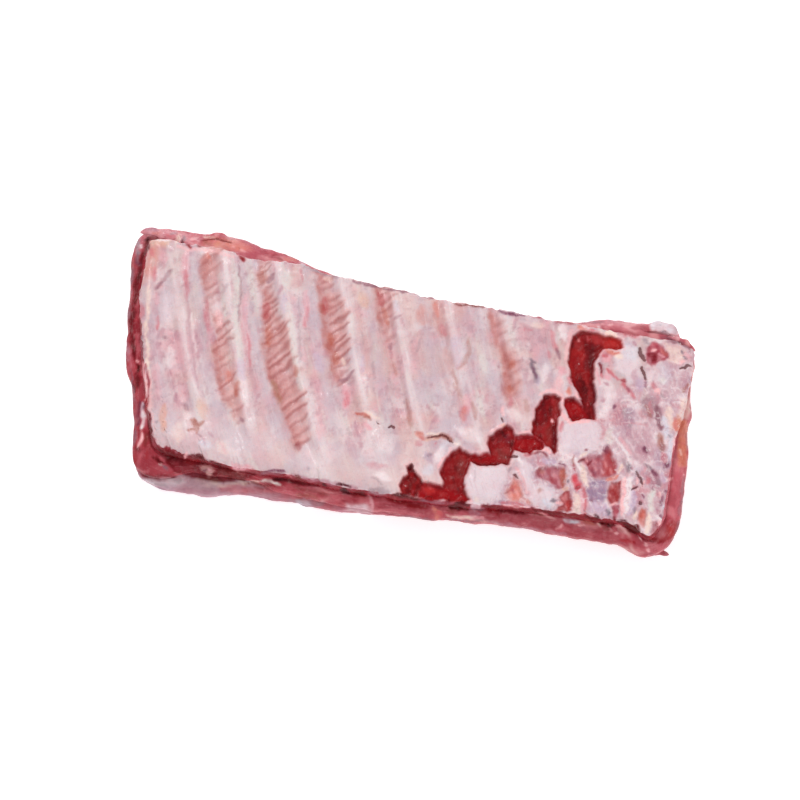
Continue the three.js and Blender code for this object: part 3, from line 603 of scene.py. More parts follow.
# Tinted areas of the marrow and of the meat beside it.
MARROW_PATCHES = [
    ("deep_red", 0.7, 1.4, [(95, 50), (97, 56), (102, 56), (100, 47), (96, 45)]),
    ("scarlet", 0.45, 2.0, [(96, 44), (104, 45), (103, 33), (99, 29), (96, 35)]),
    ("orange_red", 0.55, 1.6, [(105, 57), (112, 57), (114, 52), (109, 50), (105, 52)]),
    ("scarlet", 0.85, 1.4, [(113, 56), (123, 56), (124, 51), (118, 48), (113, 47), (112, 51)]),
    ("maroon", 0.6, 1.4, [(104, 50), (109, 50), (110, 36), (105, 33), (103, 38)]),
    ("maroon", 0.3, 1.2, [(28, -51), (50, -51), (50, -54.5), (28, -55)]),
    ("crimson", 0.6, 1.6, [(83, 12), (87, 13), (88, 2), (85, -6), (82, -2)]),
    ("deep_red", 0.5, 1.6, [(92, 12), (95, 11), (95, 0), (91, 3)]),
    ("maroon", 0.5, 1.8, [(59, -15), (65, -11), (66, -19), (61, -23)]),
    ("deep_red", 0.5, 1.8, [(62, -24), (70, -22), (71, -30), (64, -30)]),
    ("crimson", 0.55, 1.6, [(36, -34), (41, -30), (40, -42), (37, -46), (35, -42)]),
    ("deep_red", 0.4, 2.0, [(43, -32), (49, -33), (48, -46), (43, -46)]),
    ("claret", 0.5, 1.4, [(27, -52), (33, -51.5), (34, -57), (28, -58)]),
]

# Tints in the marrow and in the meat beside it.
MARROW_MARKS = [
    ("link", 1.0, 3.2, [(99.5, 11), (103.5, 6)]),
    ("scarlet", 0.5, 0.9, [(103.5, 13), (106.5, 7.5)]),
    ("oxblood", 0.6, 0.8, [(98, 14.3), (103, 14)]),
    ("crimson", 0.7, 1.3, [(102, 3.5), (104.5, 3)]),
    ("red", 0.8, 3.0, [(106, 54.5), (112, 52)]),
    ("scarlet", 0.8, 3.2, [(117, 53), (122, 53)]),
    ("rose", 0.4, 0.8, [(102.5, 54), (103.5, 51)]),
    # Painted glint: a tiny blush speck on the marrow.
    ("blush", 0.8, 0.6, [(97.6, 51), (98.5, 49.8)]),
    ("crimson", 0.7, 1.2, [(100, 54.5), (101, 48)]),
    ("scarlet", 0.3, 1.0, [(97, 45), (100, 44)]),
    ("crimson", 0.6, 2.4, [(98, 40), (101, 32)]),
    ("oxblood", 0.75, 1.3, [(106.5, 47), (106.5, 40), (107.5, 36)]),
    ("oxblood", 0.7, 1.4, [(102, 28), (105, 24), (107, 19)]),
    ("maroon", 0.8, 1.2, [(112, 24), (113, 15), (113.5, 6)]),
    ("red", 0.5, 0.9, [(108.5, 24), (109.5, 14), (109, 8)]),
    ("scarlet", 0.4, 1.3, [(111, 45), (113, 47)]),
    ("red", 0.8, 1.2, [(88, 14), (90, 9)]),
    ("maroon", 0.8, 0.9, [(86, 12), (85, 6), (87, 0)]),
    ("crimson", 0.7, 1.5, [(84.5, 4), (84, -2)]),
    ("red", 0.6, 1.8, [(84.5, -6), (88, -9)]),
    ("blush", 0.9, 1.0, [(90, -0.3), (91, -1.6)]),
    ("rose", 0.6, 0.8, [(92.5, 3), (93, 0.5)]),
    ("oxblood", 0.6, 1.0, [(88.5, 7), (89.5, 1)]),
    ("umber", 0.5, 2.0, [(90.5, -5), (91.5, -13)]),
    ("maroon", 0.8, 1.2, [(94, -8), (95, -18)]),
    ("link", 1.0, 3.4, [(74, -17.5), (80, -17), (85, -14.5)]),
    ("link", 0.9, 2.0, [(80, -20), (82, -22)]),
    ("rose", 0.6, 0.8, [(73.5, -15), (76, -14.5)]),
    ("scarlet", 0.4, 1.2, [(76, -18), (78, -20)]),
    ("crimson", 0.5, 1.4, [(84, -14), (88, -16)]),
    ("black", 0.55, 1.0, [(64, -13.5), (66.5, -16.5)]),
    ("plum", 0.3, 1.6, [(67, -15), (69, -19)]),
    ("red", 0.6, 1.5, [(61.5, -17), (62, -22)]),
    ("red", 0.5, 0.9, [(69, -12), (71, -15)]),
    ("umber", 0.6, 2.2, [(64, -25), (69, -28)]),
    ("oxblood", 0.7, 1.0, [(71, -17), (71.5, -21)]),
    ("link", 0.8, 1.8, [(51, -31), (57, -31), (63, -30)]),
    ("scarlet", 0.35, 0.8, [(54, -29.8), (60, -29.3)]),
    # Painted shade: a dark line along the lower edge of the sunken link.
    ("oxblood", 0.8, 0.8, [(52, -33.8), (56, -35.6), (60, -34), (66, -32.6), (71, -31.8)]),
    ("red", 0.5, 1.6, [(38, -35), (36.5, -42)]),
    ("umber", 0.55, 2.4, [(44, -34), (45, -44)]),
    ("oxblood", 0.4, 0.8, [(45, -42), (46.5, -43)]),
    ("umber", 0.6, 1.0, [(50, -51), (53, -55.5)]),
    ("link", 0.9, 2.6, [(38, -55), (46, -55)]),
    ("scarlet", 0.8, 2.4, [(28.5, -54), (33, -56)]),
    ("rose", 0.4, 0.7, [(30, -52.5), (31.5, -55)]),
    ("orange_red", 0.3, 1.2, [(36.5, -56), (40, -56.5)]),
    ("crimson", 0.6, 1.4, [(43, -53), (47, -54)]),
    ("umber", 0.5, 1.4, [(19, -53), (19.5, -57)]),
    ("red", 0.6, 1.2, [(16.5, -52), (17, -58)]),
    ("rose", 0.5, 0.7, [(21.5, -57.5), (22.5, -58.8)]),
    ("oxblood", 0.6, 1.4, [(24, -52), (25.5, -56)]),
    ("oxblood", 0.8, 0.9, [(17, -44), (19, -47)]),
]

# Tinted areas on the slab's sides, as they show from above the front edge.
SIDE_PATCHES = [
    ("pink", 0.8, 1.4, [(-170, 66), (-160, 65.5), (-148, 66), (-148, 72), (-158, 73), (-168, 73)]),
    ("maroon", 0.9, 1.2, [(-128, -62), (-113, -62), (-98, -62), (-91, -64), (-82, -65), (-77, -67),
     (-70, -67), (-72, -70), (-84, -73), (-97, -75), (-110, -74), (-116, -72), (-121, -66)]),
    ("claret", 0.75, 1.6, [(-138, -66), (-130, -62), (-122, -66), (-118, -71), (-112, -75), (-122, -79.5),
                           (-131, -80), (-137, -75)]),
    ("pink", 0.8, 1.0, [(-82, -61.5), (-80, -65), (-77, -66.5), (-73, -66), (-69, -63.5), (-68, -61.5)]),
    ("cream", 0.55, 0.8, [(-100, -68), (-96.5, -66), (-93, -65.5), (-90, -68), (-91.5, -70.5), (-94, -72.5),
                          (-95.5, -70.5), (-98, -70.5)]),
    ("grey", 0.7, 1.0, [(-3, -61), (1, -60), (5, -58.8), (8, -59), (10, -60.5), (8, -63), (3, -64.5),
     (-2, -64)]),
    ("rose", 0.5, 1.6, [(-50, -67), (-20, -67), (-14, -68.5), (-18, -72), (-36, -75), (-50, -76)]),
    ("pale", 0.7, 1.4, [(-14, -73), (-2, -70.8), (1, -72), (1, -75.5), (-5, -77.5), (-14, -76.5)]),
    ("grey", 0.55, 1.2, [(-46, -75), (-36, -75), (-26, -73.5), (-26, -76), (-36, -80), (-46, -79)]),
    ("ice", 0.6, 1.0, [(-42, -75.5), (-37, -75), (-33, -77), (-36, -79), (-41, -78.5)]),
    ("pale", 0.9, 0.9, [(55.5, -57), (58, -57), (61.5, -56.5), (61, -60), (58.5, -61.5), (57, -63.5),
     (55.5, -61)]),
    ("cream", 0.7, 1.4, [(161, 27), (165, 28), (168, 20), (167, 15), (161, 16)]),
    ("claret", 0.75, 1.4, [(4, -66), (10, -64.5), (33, -65), (36, -69), (34, -73), (14, -73), (4, -70)]),
    ("claret", 0.8, 1.4, [(63, -60), (90, -58), (106, -59.5), (104, -64), (96, -66.5), (64, -66.5)]),
    ("claret", 0.75, 1.6, [(108, -60), (128, -59), (150, -60), (152, -66), (130, -66.5), (108, -66)]),
    ("oxblood", 0.95, 0.8, [(140, -53), (144, -52.5), (148, -53), (151, -55), (150, -57), (144, -57.5),
                            (142, -56)]),
    ("rose", 0.7, 1.2, [(153, -61), (160, -60), (164, -62), (167, -66.5), (159, -69.5), (154, -66)]),
    ("orange", 0.75, 1.2, [(161, 16), (166.5, 14), (168, 6), (168.5, -2), (169, -12), (165, -15),
     (163.5, -8), (163, 0)]),
    ("orange_red", 0.35, 1.2, [(162, 14), (164.5, 12), (167, 5), (168.5, -2), (169, -12), (165, -15),
     (163.5, -8), (164.5, 0)]),
    ("rose", 0.55, 1.2, [(162, -12), (169, -16), (170, -30), (170, -45), (166, -45), (163, -36),
     (161, -26)]),
    ("deep_red", 0.75, 1.2, [(163.5, -49), (166, -46), (169, -47), (169.5, -54), (167, -57), (163, -58.5),
                             (161, -57.5), (163, -54)]),
    ("white", 0.9, 1.4, [(136, 74), (147, 74), (155, 74), (157, 66), (152, 64.5), (145, 64.5),
     (138, 65), (137, 67)]),
    ("ice", 0.6, 1.4, [(137, 73), (147, 73), (154, 72), (152, 66), (145, 65), (138, 66)]),
    ("pink", 0.55, 1.6, [(96, 62), (110, 62), (126, 62), (134, 64), (136, 71), (124, 70), (106, 67),
     (96, 65)]),
    ("salmon", 0.5, 1.8, [(-132, 66), (-121, 66), (-108, 67), (-100, 68), (-104, 73), (-118, 74),
     (-130, 72)]),
    ("pink", 0.75, 1.4, [(-148, 66), (-136, 66), (-132, 70), (-138, 73), (-148, 71)]),
]

# Tints drawn on the slab's sides, as they show from above the front edge.
SIDE_MARKS = [
    # Left side
    ("grey", 0.8, 1.5, [(-169.8, 66), (-168.8, 60), (-167.8, 53)]),
    ("slate", 0.6, 1.2, [(-167, 55), (-166.2, 48)]),
    ("white", 0.85, 0.6, [(-167.2, 60.3), (-166.3, 57.5)]),
    # Dark lean on the left side, partly painted shade of that side.
    ("oxblood", 0.95, 1.8, [(-164, 63), (-163.2, 58), (-163.5, 52)]),
    ("maroon", 0.95, 1.7, [(-163.6, 52), (-164, 46), (-163.2, 41), (-163, 36), (-162.3, 30), (-161, 25),
                           (-160.5, 21)]),
    ("oxblood", 0.7, 1.2, [(-163, 42), (-162.8, 37)]),
    ("plum", 0.65, 1.3, [(-166.5, 47.5), (-164, 46.5)]),
    ("claret", 0.75, 1.2, [(-166, 44), (-165.5, 39)]),
    ("dusky", 0.85, 1.6, [(-167.7, 44), (-167.5, 33), (-166, 25)]),
    ("dusky", 0.8, 1.4, [(-165.5, 24), (-163.5, 18), (-161.5, 12)]),
    ("umber", 0.6, 0.9, [(-160.5, 28), (-160, 23)]),
    ("maroon", 0.9, 1.3, [(-161, 20), (-159.5, 16), (-159.8, 11), (-158.5, 5), (-157, 0)]),
    ("claret", 0.7, 1.2, [(-158.5, 19), (-156.5, 16)]),
    ("claret", 0.8, 1.3, [(-160.8, 8), (-160.5, 2), (-158.5, -4)]),
    ("maroon", 0.95, 1.2, [(-157.5, 3), (-155.5, -3), (-153.5, -8), (-152, -12)]),
    ("mauve", 0.75, 1.2, [(-159, -3), (-157, -9), (-154.7, -14)]),
    ("rose", 0.7, 1.3, [(-153.8, 3), (-152, -4), (-150.5, -11)]),
    ("dusky", 0.55, 0.8, [(-151, 0), (-148.5, -6), (-147, -11)]),
    ("slate", 0.5, 0.7, [(-150.5, 3.5), (-150, 1)]),
    ("blush", 0.85, 1.0, [(-151, -12.5), (-148.3, -13)]),
    ("oxblood", 0.95, 0.9, [(-150, -15.3), (-148, -16), (-147.3, -19.5)]),
    ("maroon", 0.95, 1.3, [(-148.5, -20), (-146.5, -24), (-145, -28)]),
    ("maroon", 0.85, 1.1, [(-148, -27), (-146.3, -31.5)]),
    ("dusky", 0.75, 0.8, [(-152.5, -18), (-150, -24), (-147.5, -31), (-145.5, -37)]),
    ("blush", 0.9, 0.9, [(-145.2, -12), (-144, -18), (-142, -23), (-140.5, -27)]),
    ("greige", 0.5, 0.7, [(-145.2, -17), (-144.7, -21)]),
    ("claret", 0.9, 0.8, [(-144, -13.5), (-142, -18), (-140, -23), (-138.5, -28), (-137.5, -33)]),
    ("red", 0.8, 0.9, [(-137.5, -33), (-136.5, -38), (-135, -43), (-134, -47)]),
    ("claret", 0.85, 1.6, [(-143, -25.5), (-142, -30), (-142.5, -34)]),
    ("plum", 0.75, 1.0, [(-142, -36), (-141.5, -42), (-140.5, -47), (-139.5, -51)]),
    ("mauve_red", 0.85, 1.1, [(-144.7, -36), (-143.2, -43), (-141.7, -49), (-140.7, -53)]),
    ("blush", 0.9, 0.8, [(-140, -27), (-138.8, -31), (-138.8, -35.5)]),
    ("ice", 0.9, 1.0, [(-140.2, -37), (-139.5, -41), (-138.7, -46)]),
    ("white", 0.97, 1.3, [(-138.2, -42), (-137.2, -47), (-136.7, -53)]),
    ("slate", 0.8, 0.7, [(-138.6, -38.5), (-138, -41)]),
    ("blush", 0.9, 0.9, [(-136.2, -55), (-135.8, -60), (-136.2, -64)]),
    ("maroon", 0.95, 1.0, [(-135.5, -41), (-134, -45), (-132.5, -50), (-131.5, -54)]),
    ("umber", 0.65, 1.2, [(-133.7, -55), (-133, -62)]),
    ("maroon", 0.95, 1.4, [(-132.5, -50), (-131, -56), (-129.3, -61.5)]),
    ("claret", 0.8, 1.0, [(-129, -57), (-126.5, -61)]),
    ("dusky", 0.85, 1.0, [(-140, -54), (-139.6, -60), (-140, -64)]),
    ("oxblood", 0.9, 0.9, [(-137.3, -65), (-134.5, -64.7)]),
    ("dusky", 0.75, 0.8, [(-139.7, -66), (-138.5, -71), (-136, -76)]),
    ("red", 0.5, 1.0, [(-136, -67), (-135, -73)]),
    ("rose", 0.5, 0.9, [(-133.5, -66), (-132.5, -74)]),
    ("red", 0.5, 1.0, [(-131, -64), (-129.5, -70)]),
    ("blush", 0.4, 0.7, [(-134, -75.5), (-129, -77), (-126, -75)]),
    # Front side, left part
    ("maroon", 0.85, 1.4, [(-129, -79), (-124, -79.3), (-118, -78), (-112, -76.3)]),
    ("crimson", 0.8, 0.8, [(-130, -60), (-129, -63)]),
    ("oxblood", 0.95, 0.9, [(-126, -67.3), (-123, -69), (-119.5, -69.7)]),
    ("oxblood", 0.85, 0.9, [(-106, -61.8), (-101, -61.6), (-97, -62.8)]),
    ("crimson", 0.85, 1.4, [(-107, -66.5), (-102, -65.2), (-99, -65)]),
    ("oxblood", 0.5, 1.6, [(-118, -65), (-112, -65.5)]),
    ("mauve", 0.7, 0.8, [(-114.5, -61), (-112.5, -62)]),
    ("blush", 0.9, 0.8, [(-107.8, -60), (-107.3, -64.7)]),
    ("rose", 0.5, 1.2, [(-122, -66.3), (-118.7, -66.3)]),
    ("slate", 0.7, 0.9, [(-119, -72.3), (-117, -73.2)]),
    ("greige", 0.7, 0.9, [(-121.5, -71.5), (-119.7, -71.8)]),
    ("claret", 0.5, 2.2, [(-113, -71), (-104, -71.3), (-98, -73.5)]),
    ("plum", 0.5, 0.7, [(-97, -70.7), (-95, -69.2)]),
    ("pink", 0.7, 0.9, [(-94.5, -68.5), (-91.5, -68.7)]),
    ("oxblood", 0.85, 0.9, [(-92.5, -64), (-88, -65.3), (-83, -65.3)]),
    ("umber", 0.5, 2.4, [(-88, -68.5), (-80, -68.5), (-73, -67.5)]),
    ("umber", 0.8, 1.0, [(-98, -73.7), (-90, -74), (-84, -72.7)]),
    ("claret", 0.6, 0.8, [(-88, -71), (-82, -70)]),
    ("cream", 0.8, 0.9, [(-98, -76.5), (-88, -76.5), (-80, -74.5), (-72, -71.7), (-64, -69.3)]),
    ("maroon", 0.85, 0.8, [(-72, -67), (-68, -65.6), (-64, -64.3)]),
    ("claret", 0.7, 0.9, [(-69, -63.5), (-64, -66)]),
    ("dusky", 0.85, 1.4, [(-64, -64.5), (-58, -62.7), (-52, -61.8)]),
    ("plum", 0.8, 0.6, [(-62, -63), (-57, -61.2), (-52, -61.2)]),
    ("black", 0.9, 1.1, [(-57, -66.8), (-52, -65.7), (-46, -66.6)]),
    ("sage", 0.9, 1.1, [(-63, -68.5), (-58, -68.5), (-53, -69)]),
    ("umber", 0.6, 0.6, [(-72, -71.6), (-64, -70.9), (-56, -71.3)]),
    ("pale", 0.85, 2.4, [(-127, -82), (-116, -80), (-107, -77.7)]),
    ("grey", 0.6, 0.8, [(-122, -82.5), (-117, -82), (-114, -83)]),
    ("grey", 0.5, 1.0, [(-112, -78.7), (-108, -78)]),
    ("mauve", 0.8, 1.6, [(-112, -84), (-100, -82), (-88, -80.5), (-78, -78.5)]),
    ("rose", 0.6, 2.2, [(-86, -77.5), (-72, -75.7), (-60, -74.7)]),
    ("rose", 0.7, 1.4, [(-62, -73.5), (-50, -72.7)]),
    ("claret", 0.5, 0.9, [(-66, -73), (-54, -72)]),
    ("plum", 0.4, 0.8, [(-120, -85), (-114, -85.5)]),
    # Front side, middle
    # Painted shade: a mauve band under the plate's lip.
    ("mauve", 0.8, 1.2, [(-46, -62.3), (-36, -62.7), (-28, -62.2), (-10, -62.3)]),
    ("umber", 0.8, 0.9, [(-44, -62.7), (-41, -63.7)]),
    ("blush", 0.6, 0.6, [(-50, -63), (-46, -63.7)]),
    ("maroon", 0.92, 1.2, [(-50, -66), (-42, -66), (-36, -66), (-31, -65.5)]),
    ("black", 0.85, 0.9, [(-28.5, -64.5), (-26, -64.5)]),
    ("black", 0.85, 0.9, [(-21, -62.8), (-17.5, -61.9), (-14, -62.4)]),
    ("claret", 0.6, 0.8, [(-24, -65), (-18, -63.7)]),
    ("black", 0.9, 1.1, [(-18, -65.5), (-15, -65.6), (-13, -66.2)]),
    ("oxblood", 0.92, 1.6, [(-11.5, -66), (-8, -65.2), (-4.5, -65.6)]),
    ("red", 0.6, 1.0, [(-11, -67.3), (-5, -67.3)]),
    ("umber", 0.4, 0.9, [(-46, -68.3), (-36, -70), (-24, -69.3)]),
    ("brown", 0.45, 1.3, [(-42, -73), (-30, -72.6)]),
    ("blush", 0.5, 0.6, [(-34, -67.4), (-26, -67.6), (-20, -67.2)]),
    ("pink", 0.85, 1.3, [(-1.7, -65.7), (0, -69), (1, -72)]),
    ("oxblood", 0.9, 1.0, [(11, -62.6), (15, -61.7), (20, -61.8), (26, -62.3)]),
    ("dusky", 0.85, 0.8, [(26, -62.5), (34, -61.7), (40, -61.3)]),
    ("crimson", 0.9, 1.4, [(8, -65.5), (16, -65.5), (24, -66), (31, -65.5)]),
    ("rose", 0.6, 1.4, [(8, -70.8), (18, -71), (30, -70.5)]),
    ("dusky", 0.7, 0.8, [(18, -73), (28, -73.3), (38, -72)]),
    ("salmon", 0.85, 1.8, [(34.5, -65), (38, -68), (38, -71)]),
    ("bright_red", 0.6, 1.2, [(37.5, -67), (39.5, -69)]),
    ("mauve_red", 0.7, 0.9, [(34, -61.7), (40, -60.7), (46, -60.2)]),
    ("black", 0.85, 1.0, [(46, -60.5), (50, -59.3), (55, -59)]),
    ("oxblood", 0.95, 1.4, [(43, -63), (47, -62.2), (53, -62.2)]),
    ("umber", 0.6, 1.0, [(42, -65), (48, -65)]),
    ("cream", 0.85, 0.9, [(42, -67.5), (46, -68.2), (52, -67.5), (58, -66)]),
    # Painted shadow: a dusky line under the cream line.
    ("dusky", 0.75, 0.6, [(42, -70), (48, -69.4), (54, -69.2), (62, -67.6)]),
    ("dusky", 0.85, 0.8, [(55, -61.7), (60, -61.2), (63, -59.7)]),
    ("mauve", 0.7, 1.4, [(54, -64), (60, -64)]),
    ("pink", 0.7, 1.0, [(55, -66), (63, -66)]),
    # Front side, right part
    ("maroon", 0.92, 1.2, [(61, -58.3), (66, -58.7), (74, -59), (82, -58.2), (88, -57.2)]),
    ("crimson", 0.85, 1.5, [(65, -61), (69, -60.3), (71, -62)]),
    ("mauve", 0.6, 0.9, [(64, -66.7), (80, -66.2), (96, -66.5), (110, -65.7)]),
    ("rose", 0.75, 1.3, [(71, -55.3), (76, -53.8), (84, -53.8)]),
    ("blush", 0.75, 0.6, [(72, -56.3), (80, -55.3), (87, -54.3)]),
    ("maroon", 0.9, 1.0, [(89, -54.3), (92, -55.6), (96, -54.7)]),
    ("maroon", 0.9, 1.2, [(95, -55.2), (101, -55), (105, -53.7)]),
    ("umber", 0.75, 0.8, [(105, -55), (110, -54.2), (115, -53.5)]),
    ("umber", 0.6, 0.7, [(90, -57.2), (96, -57.2)]),
    ("blush", 0.6, 0.6, [(93, -56.2), (98, -57.6), (102, -58.1)]),
    ("ice", 0.95, 1.6, [(107, -57.3), (111, -57.1), (115, -57.1)]),
    ("maroon", 0.9, 1.0, [(118, -53.2), (122, -53.7), (126, -54.2)]),
    # Painted shade: black in the crevice under the plate's edge.
    ("black", 0.85, 0.9, [(124, -51.6), (127, -52.5)]),
    ("rust", 0.6, 1.3, [(118, -56), (123, -56)]),
    ("cream", 0.7, 0.6, [(125.5, -55.7), (127.5, -57.5)]),
    ("oxblood", 0.95, 1.5, [(128, -55.6), (131, -54.7), (134.5, -54.7)]),
    ("umber", 0.6, 1.2, [(129, -58), (132, -58)]),
    ("blush", 0.9, 0.8, [(136, -54.6), (139, -56), (142, -58)]),
    # Painted shade: a black line in the undercut below the plate's edge.
    ("black", 0.9, 0.9, [(136.5, -52.4), (139, -51.9), (141, -51), (142.5, -51.9)]),
    ("mauve_red", 0.6, 1.2, [(116, -60), (124, -60.5)]),
    ("blush", 0.8, 0.8, [(103.5, -63.7), (106, -61), (107, -60.5)]),
    ("blush", 0.8, 0.6, [(116, -59), (118, -58)]),
    ("blush", 0.8, 0.7, [(136, -59.5), (138, -59.3)]),
    ("red", 0.6, 1.2, [(140, -62.5), (147, -63)]),
    ("crimson", 0.8, 0.8, [(146, -63.3), (147.5, -63.3)]),
    ("maroon", 0.8, 0.8, [(151.5, -56.7), (155, -58.5)]),
    ("crimson", 0.75, 1.1, [(155, -58.7), (160, -59), (163, -58.2)]),
    ("blush", 0.9, 0.6, [(149, -59), (151, -61)]),
    ("blush", 0.9, 0.7, [(152.5, -62), (154, -63.5)]),
    ("blush", 0.9, 0.6, [(155, -65.5), (156.5, -67)]),
    ("maroon", 0.7, 0.7, [(152, -60), (158, -60.6)]),
    ("mauve_red", 0.6, 1.4, [(157, -68), (162, -67), (167, -66.5)]),
    ("ice", 0.6, 1.2, [(164, -62.7), (165, -64.7)]),
    # Right side
    ("rust", 0.5, 1.4, [(166.5, -7), (168, -12)]),
    ("cream", 0.8, 0.6, [(165, -4), (165.4, -7)]),
    ("dusky", 0.6, 0.7, [(167, 10), (168.3, 2), (168.8, -3)]),
    ("dusky", 0.6, 0.9, [(168.7, -20), (169.3, -30), (169.3, -42)]),
    ("blush", 0.75, 0.7, [(167.5, -17.8), (168, -19.2)]),
    ("blush", 0.8, 0.5, [(160.5, -23), (163, -21.5)]),
    ("claret", 0.5, 1.4, [(163, -28), (166, -38)]),
    ("scarlet", 0.4, 1.0, [(166, -49), (166.5, -54)]),
    ("dusky", 0.5, 0.6, [(169.3, -46), (169.5, -54)]),
    # Back side
    ("mauve", 0.8, 1.5, [(-167.5, 69), (-163.5, 71.5), (-160, 70)]),
    ("salmon", 0.7, 0.9, [(-162, 68), (-156, 68)]),
    ("rose", 0.85, 1.3, [(-155, 68), (-151, 68.7), (-149, 68)]),
    ("umber", 0.6, 0.7, [(-149, 66.7), (-148.3, 66.7)]),
    ("cream", 0.9, 0.9, [(-146.6, 71), (-146.3, 64)]),
    ("grey", 0.6, 0.9, [(-151.5, 70.5), (-148.5, 70.5)]),
    ("grey", 0.7, 1.5, [(-143.7, 66.7), (-142.7, 69.7)]),
    ("rose", 0.8, 0.9, [(-140.5, 70.5), (-136, 72), (-132, 73), (-127, 74.5)]),
    ("blush", 0.85, 0.9, [(-139, 69.3), (-135.5, 70)]),
    ("rose", 0.75, 1.1, [(-138.5, 67.5), (-135, 68)]),
    ("brown", 0.55, 1.3, [(-131, 69), (-126, 67.5)]),
    ("cream", 0.7, 0.8, [(-132, 71.5), (-124, 72)]),
    ("orange", 0.5, 1.4, [(-124, 68.5), (-121, 69)]),
    ("mauve", 0.5, 1.0, [(-122, 74), (-112, 74.6), (-104, 73.6), (-94, 72)]),
    ("salmon", 0.7, 1.8, [(-116, 70.5), (-112, 68.5), (-106, 68.5)]),
    ("blush", 0.7, 0.8, [(-114, 69), (-112, 68.5)]),
    ("blush", 0.6, 0.8, [(-108, 67.7), (-105.5, 67)]),
    ("claret", 0.6, 1.8, [(-96, 69), (-89, 68.3), (-84, 68)]),
    ("rose", 0.7, 0.9, [(-91, 69.3), (-88, 69.2)]),
    ("umber", 0.5, 0.8, [(-85, 66.7), (-82, 65.7)]),
    ("umber", 0.5, 0.7, [(-82, 70.4), (-79, 70.3)]),
    ("salmon", 0.65, 1.2, [(-81, 67.3), (-74, 67.2)]),
    ("ice", 0.7, 0.9, [(-71.5, 67.3), (-68, 65.7)]),
    ("dusky", 0.6, 0.9, [(96, 61.7), (99, 62.7), (103, 63.8), (110, 65)]),
    ("white", 0.75, 0.8, [(107, 61.5), (108.5, 60.5)]),
    ("mauve", 0.5, 0.9, [(112, 66.6), (120, 67.7), (127, 69)]),
    ("rose", 0.6, 1.2, [(112, 62.3), (118, 63), (125, 62.3)]),
    ("blush", 0.75, 1.1, [(113, 63.7), (116, 64.2)]),
    ("claret", 0.55, 1.6, [(127, 64.5), (133, 65.5), (137, 65.4)]),
    ("claret", 0.5, 1.0, [(122, 61.2), (127, 61.2), (131, 60)]),
    ("grey", 0.5, 1.2, [(151.5, 70), (152.5, 65)]),
    ("dusky", 0.8, 1.0, [(144, 62), (149, 61.7), (154, 61), (159, 59.7), (163, 57.7)]),
    ("pink", 0.6, 1.0, [(149, 64), (156, 63.5)]),
]

# Torn shreds at the sides of the lean and of the fat: half width, half thickness and a line with heights.
LEAN_SHREDS = [
    (3.4, 1.8, [(-146, 69.5, 22), (-156, 71.5, 22), (-165, 72.4, 22), (-171.5, 70.5, 22)]),
    (2.2, 0.9, [(-140, 73, 18), (-131, 77, 19), (-125, 79, 20), (-117, 77, 19)]),
    (1.3, 0.8, [(-146.5, 66, 24), (-146.5, 71, 23), (-147.5, 74.5, 22)]),
    (3.2, 2.4, [(148, -53, 9), (157, -52.5, 9), (163, -51, 9), (168.5, -48.5, 9)]),
    (3.0, 1.8, [(140, -58, 9), (149, -59.5, 9), (156, -60.6, 8.5), (161, -60.6, 8)]),
    (2.2, 1.3, [(150, -58, 9), (159, -58.8, 8.5), (165, -59, 8), (169.5, -59.4, 8)]),
    (1.8, 0.7, [(104, -54, 19), (110, -56, 17), (117, -54.5, 18)]),
    (1.6, 0.6, [(132, -51, 22), (137, -54, 20), (143, -55.5, 18)]),
    (2.6, 0.7, [(-106, -61, 20), (-99, -64, 17), (-92, -64.5, 16), (-88, -62, 18)]),
    (2.9, 0.6, [(131, 68, 18), (141, 72.5, 20), (149, 72.5, 21), (155.5, 67, 22)]),
    (2.2, 0.9, [(148, 66, 22), (157, 65, 23), (165.5, 60, 24)]),
]
FAT_SHREDS = [
    (2.0, 0.5, [(-47, -66, 3.5), (-40, -68.8, 2.4), (-28, -67, 3)]),
    (2.0, 0.5, [(-18, -64.5, 3.5), (-8, -67.2, 2.2), (4, -65, 3)]),
]
SHRED_AROUND = 12
SHRED_ALONG = 30

TINTS = {
    "white": (240, 224, 226),
    "ice": (216, 211, 222),
    "sage": (217, 208, 203),
    "cream": (240, 212, 200),
    "pale": (226, 208, 214),
    "greige": (206, 184, 180),
    "lilac": (200, 176, 197),
    "blue": (148, 120, 148),
    "slate": (124, 106, 118),
    "grey": (166, 140, 148),
    "blush": (246, 186, 188),
    "pink": (228, 168, 176),
    "salmon": (214, 124, 112),
    "orange": (224, 144, 112),
    "tan": (222, 170, 148),
    "olive": (160, 124, 92),
    "brown": (160, 92, 80),
    "rust": (178, 90, 74),
    "umber": (116, 42, 38),
    "mauve": (180, 126, 140),
    "dusky": (142, 94, 106),
    "plum": (110, 50, 74),
    "rose": (200, 104, 114),
    "claret": (158, 62, 72),
    "link": (150, 10, 18),
    "red": (162, 40, 46),
    "scarlet": (186, 40, 38),
    "crimson": (128, 10, 18),
    "maroon": (102, 10, 20),
    "oxblood": (80, 0, 6),
    "black": (60, 6, 14),
    "mauve_red": (164, 86, 98),
    "deep_red": (152, 46, 48),
    "meat_red": (168, 62, 66),
    "rose_red": (164, 66, 80),
    "orange_red": (190, 92, 80),
    "bright_red": (212, 80, 92),
}

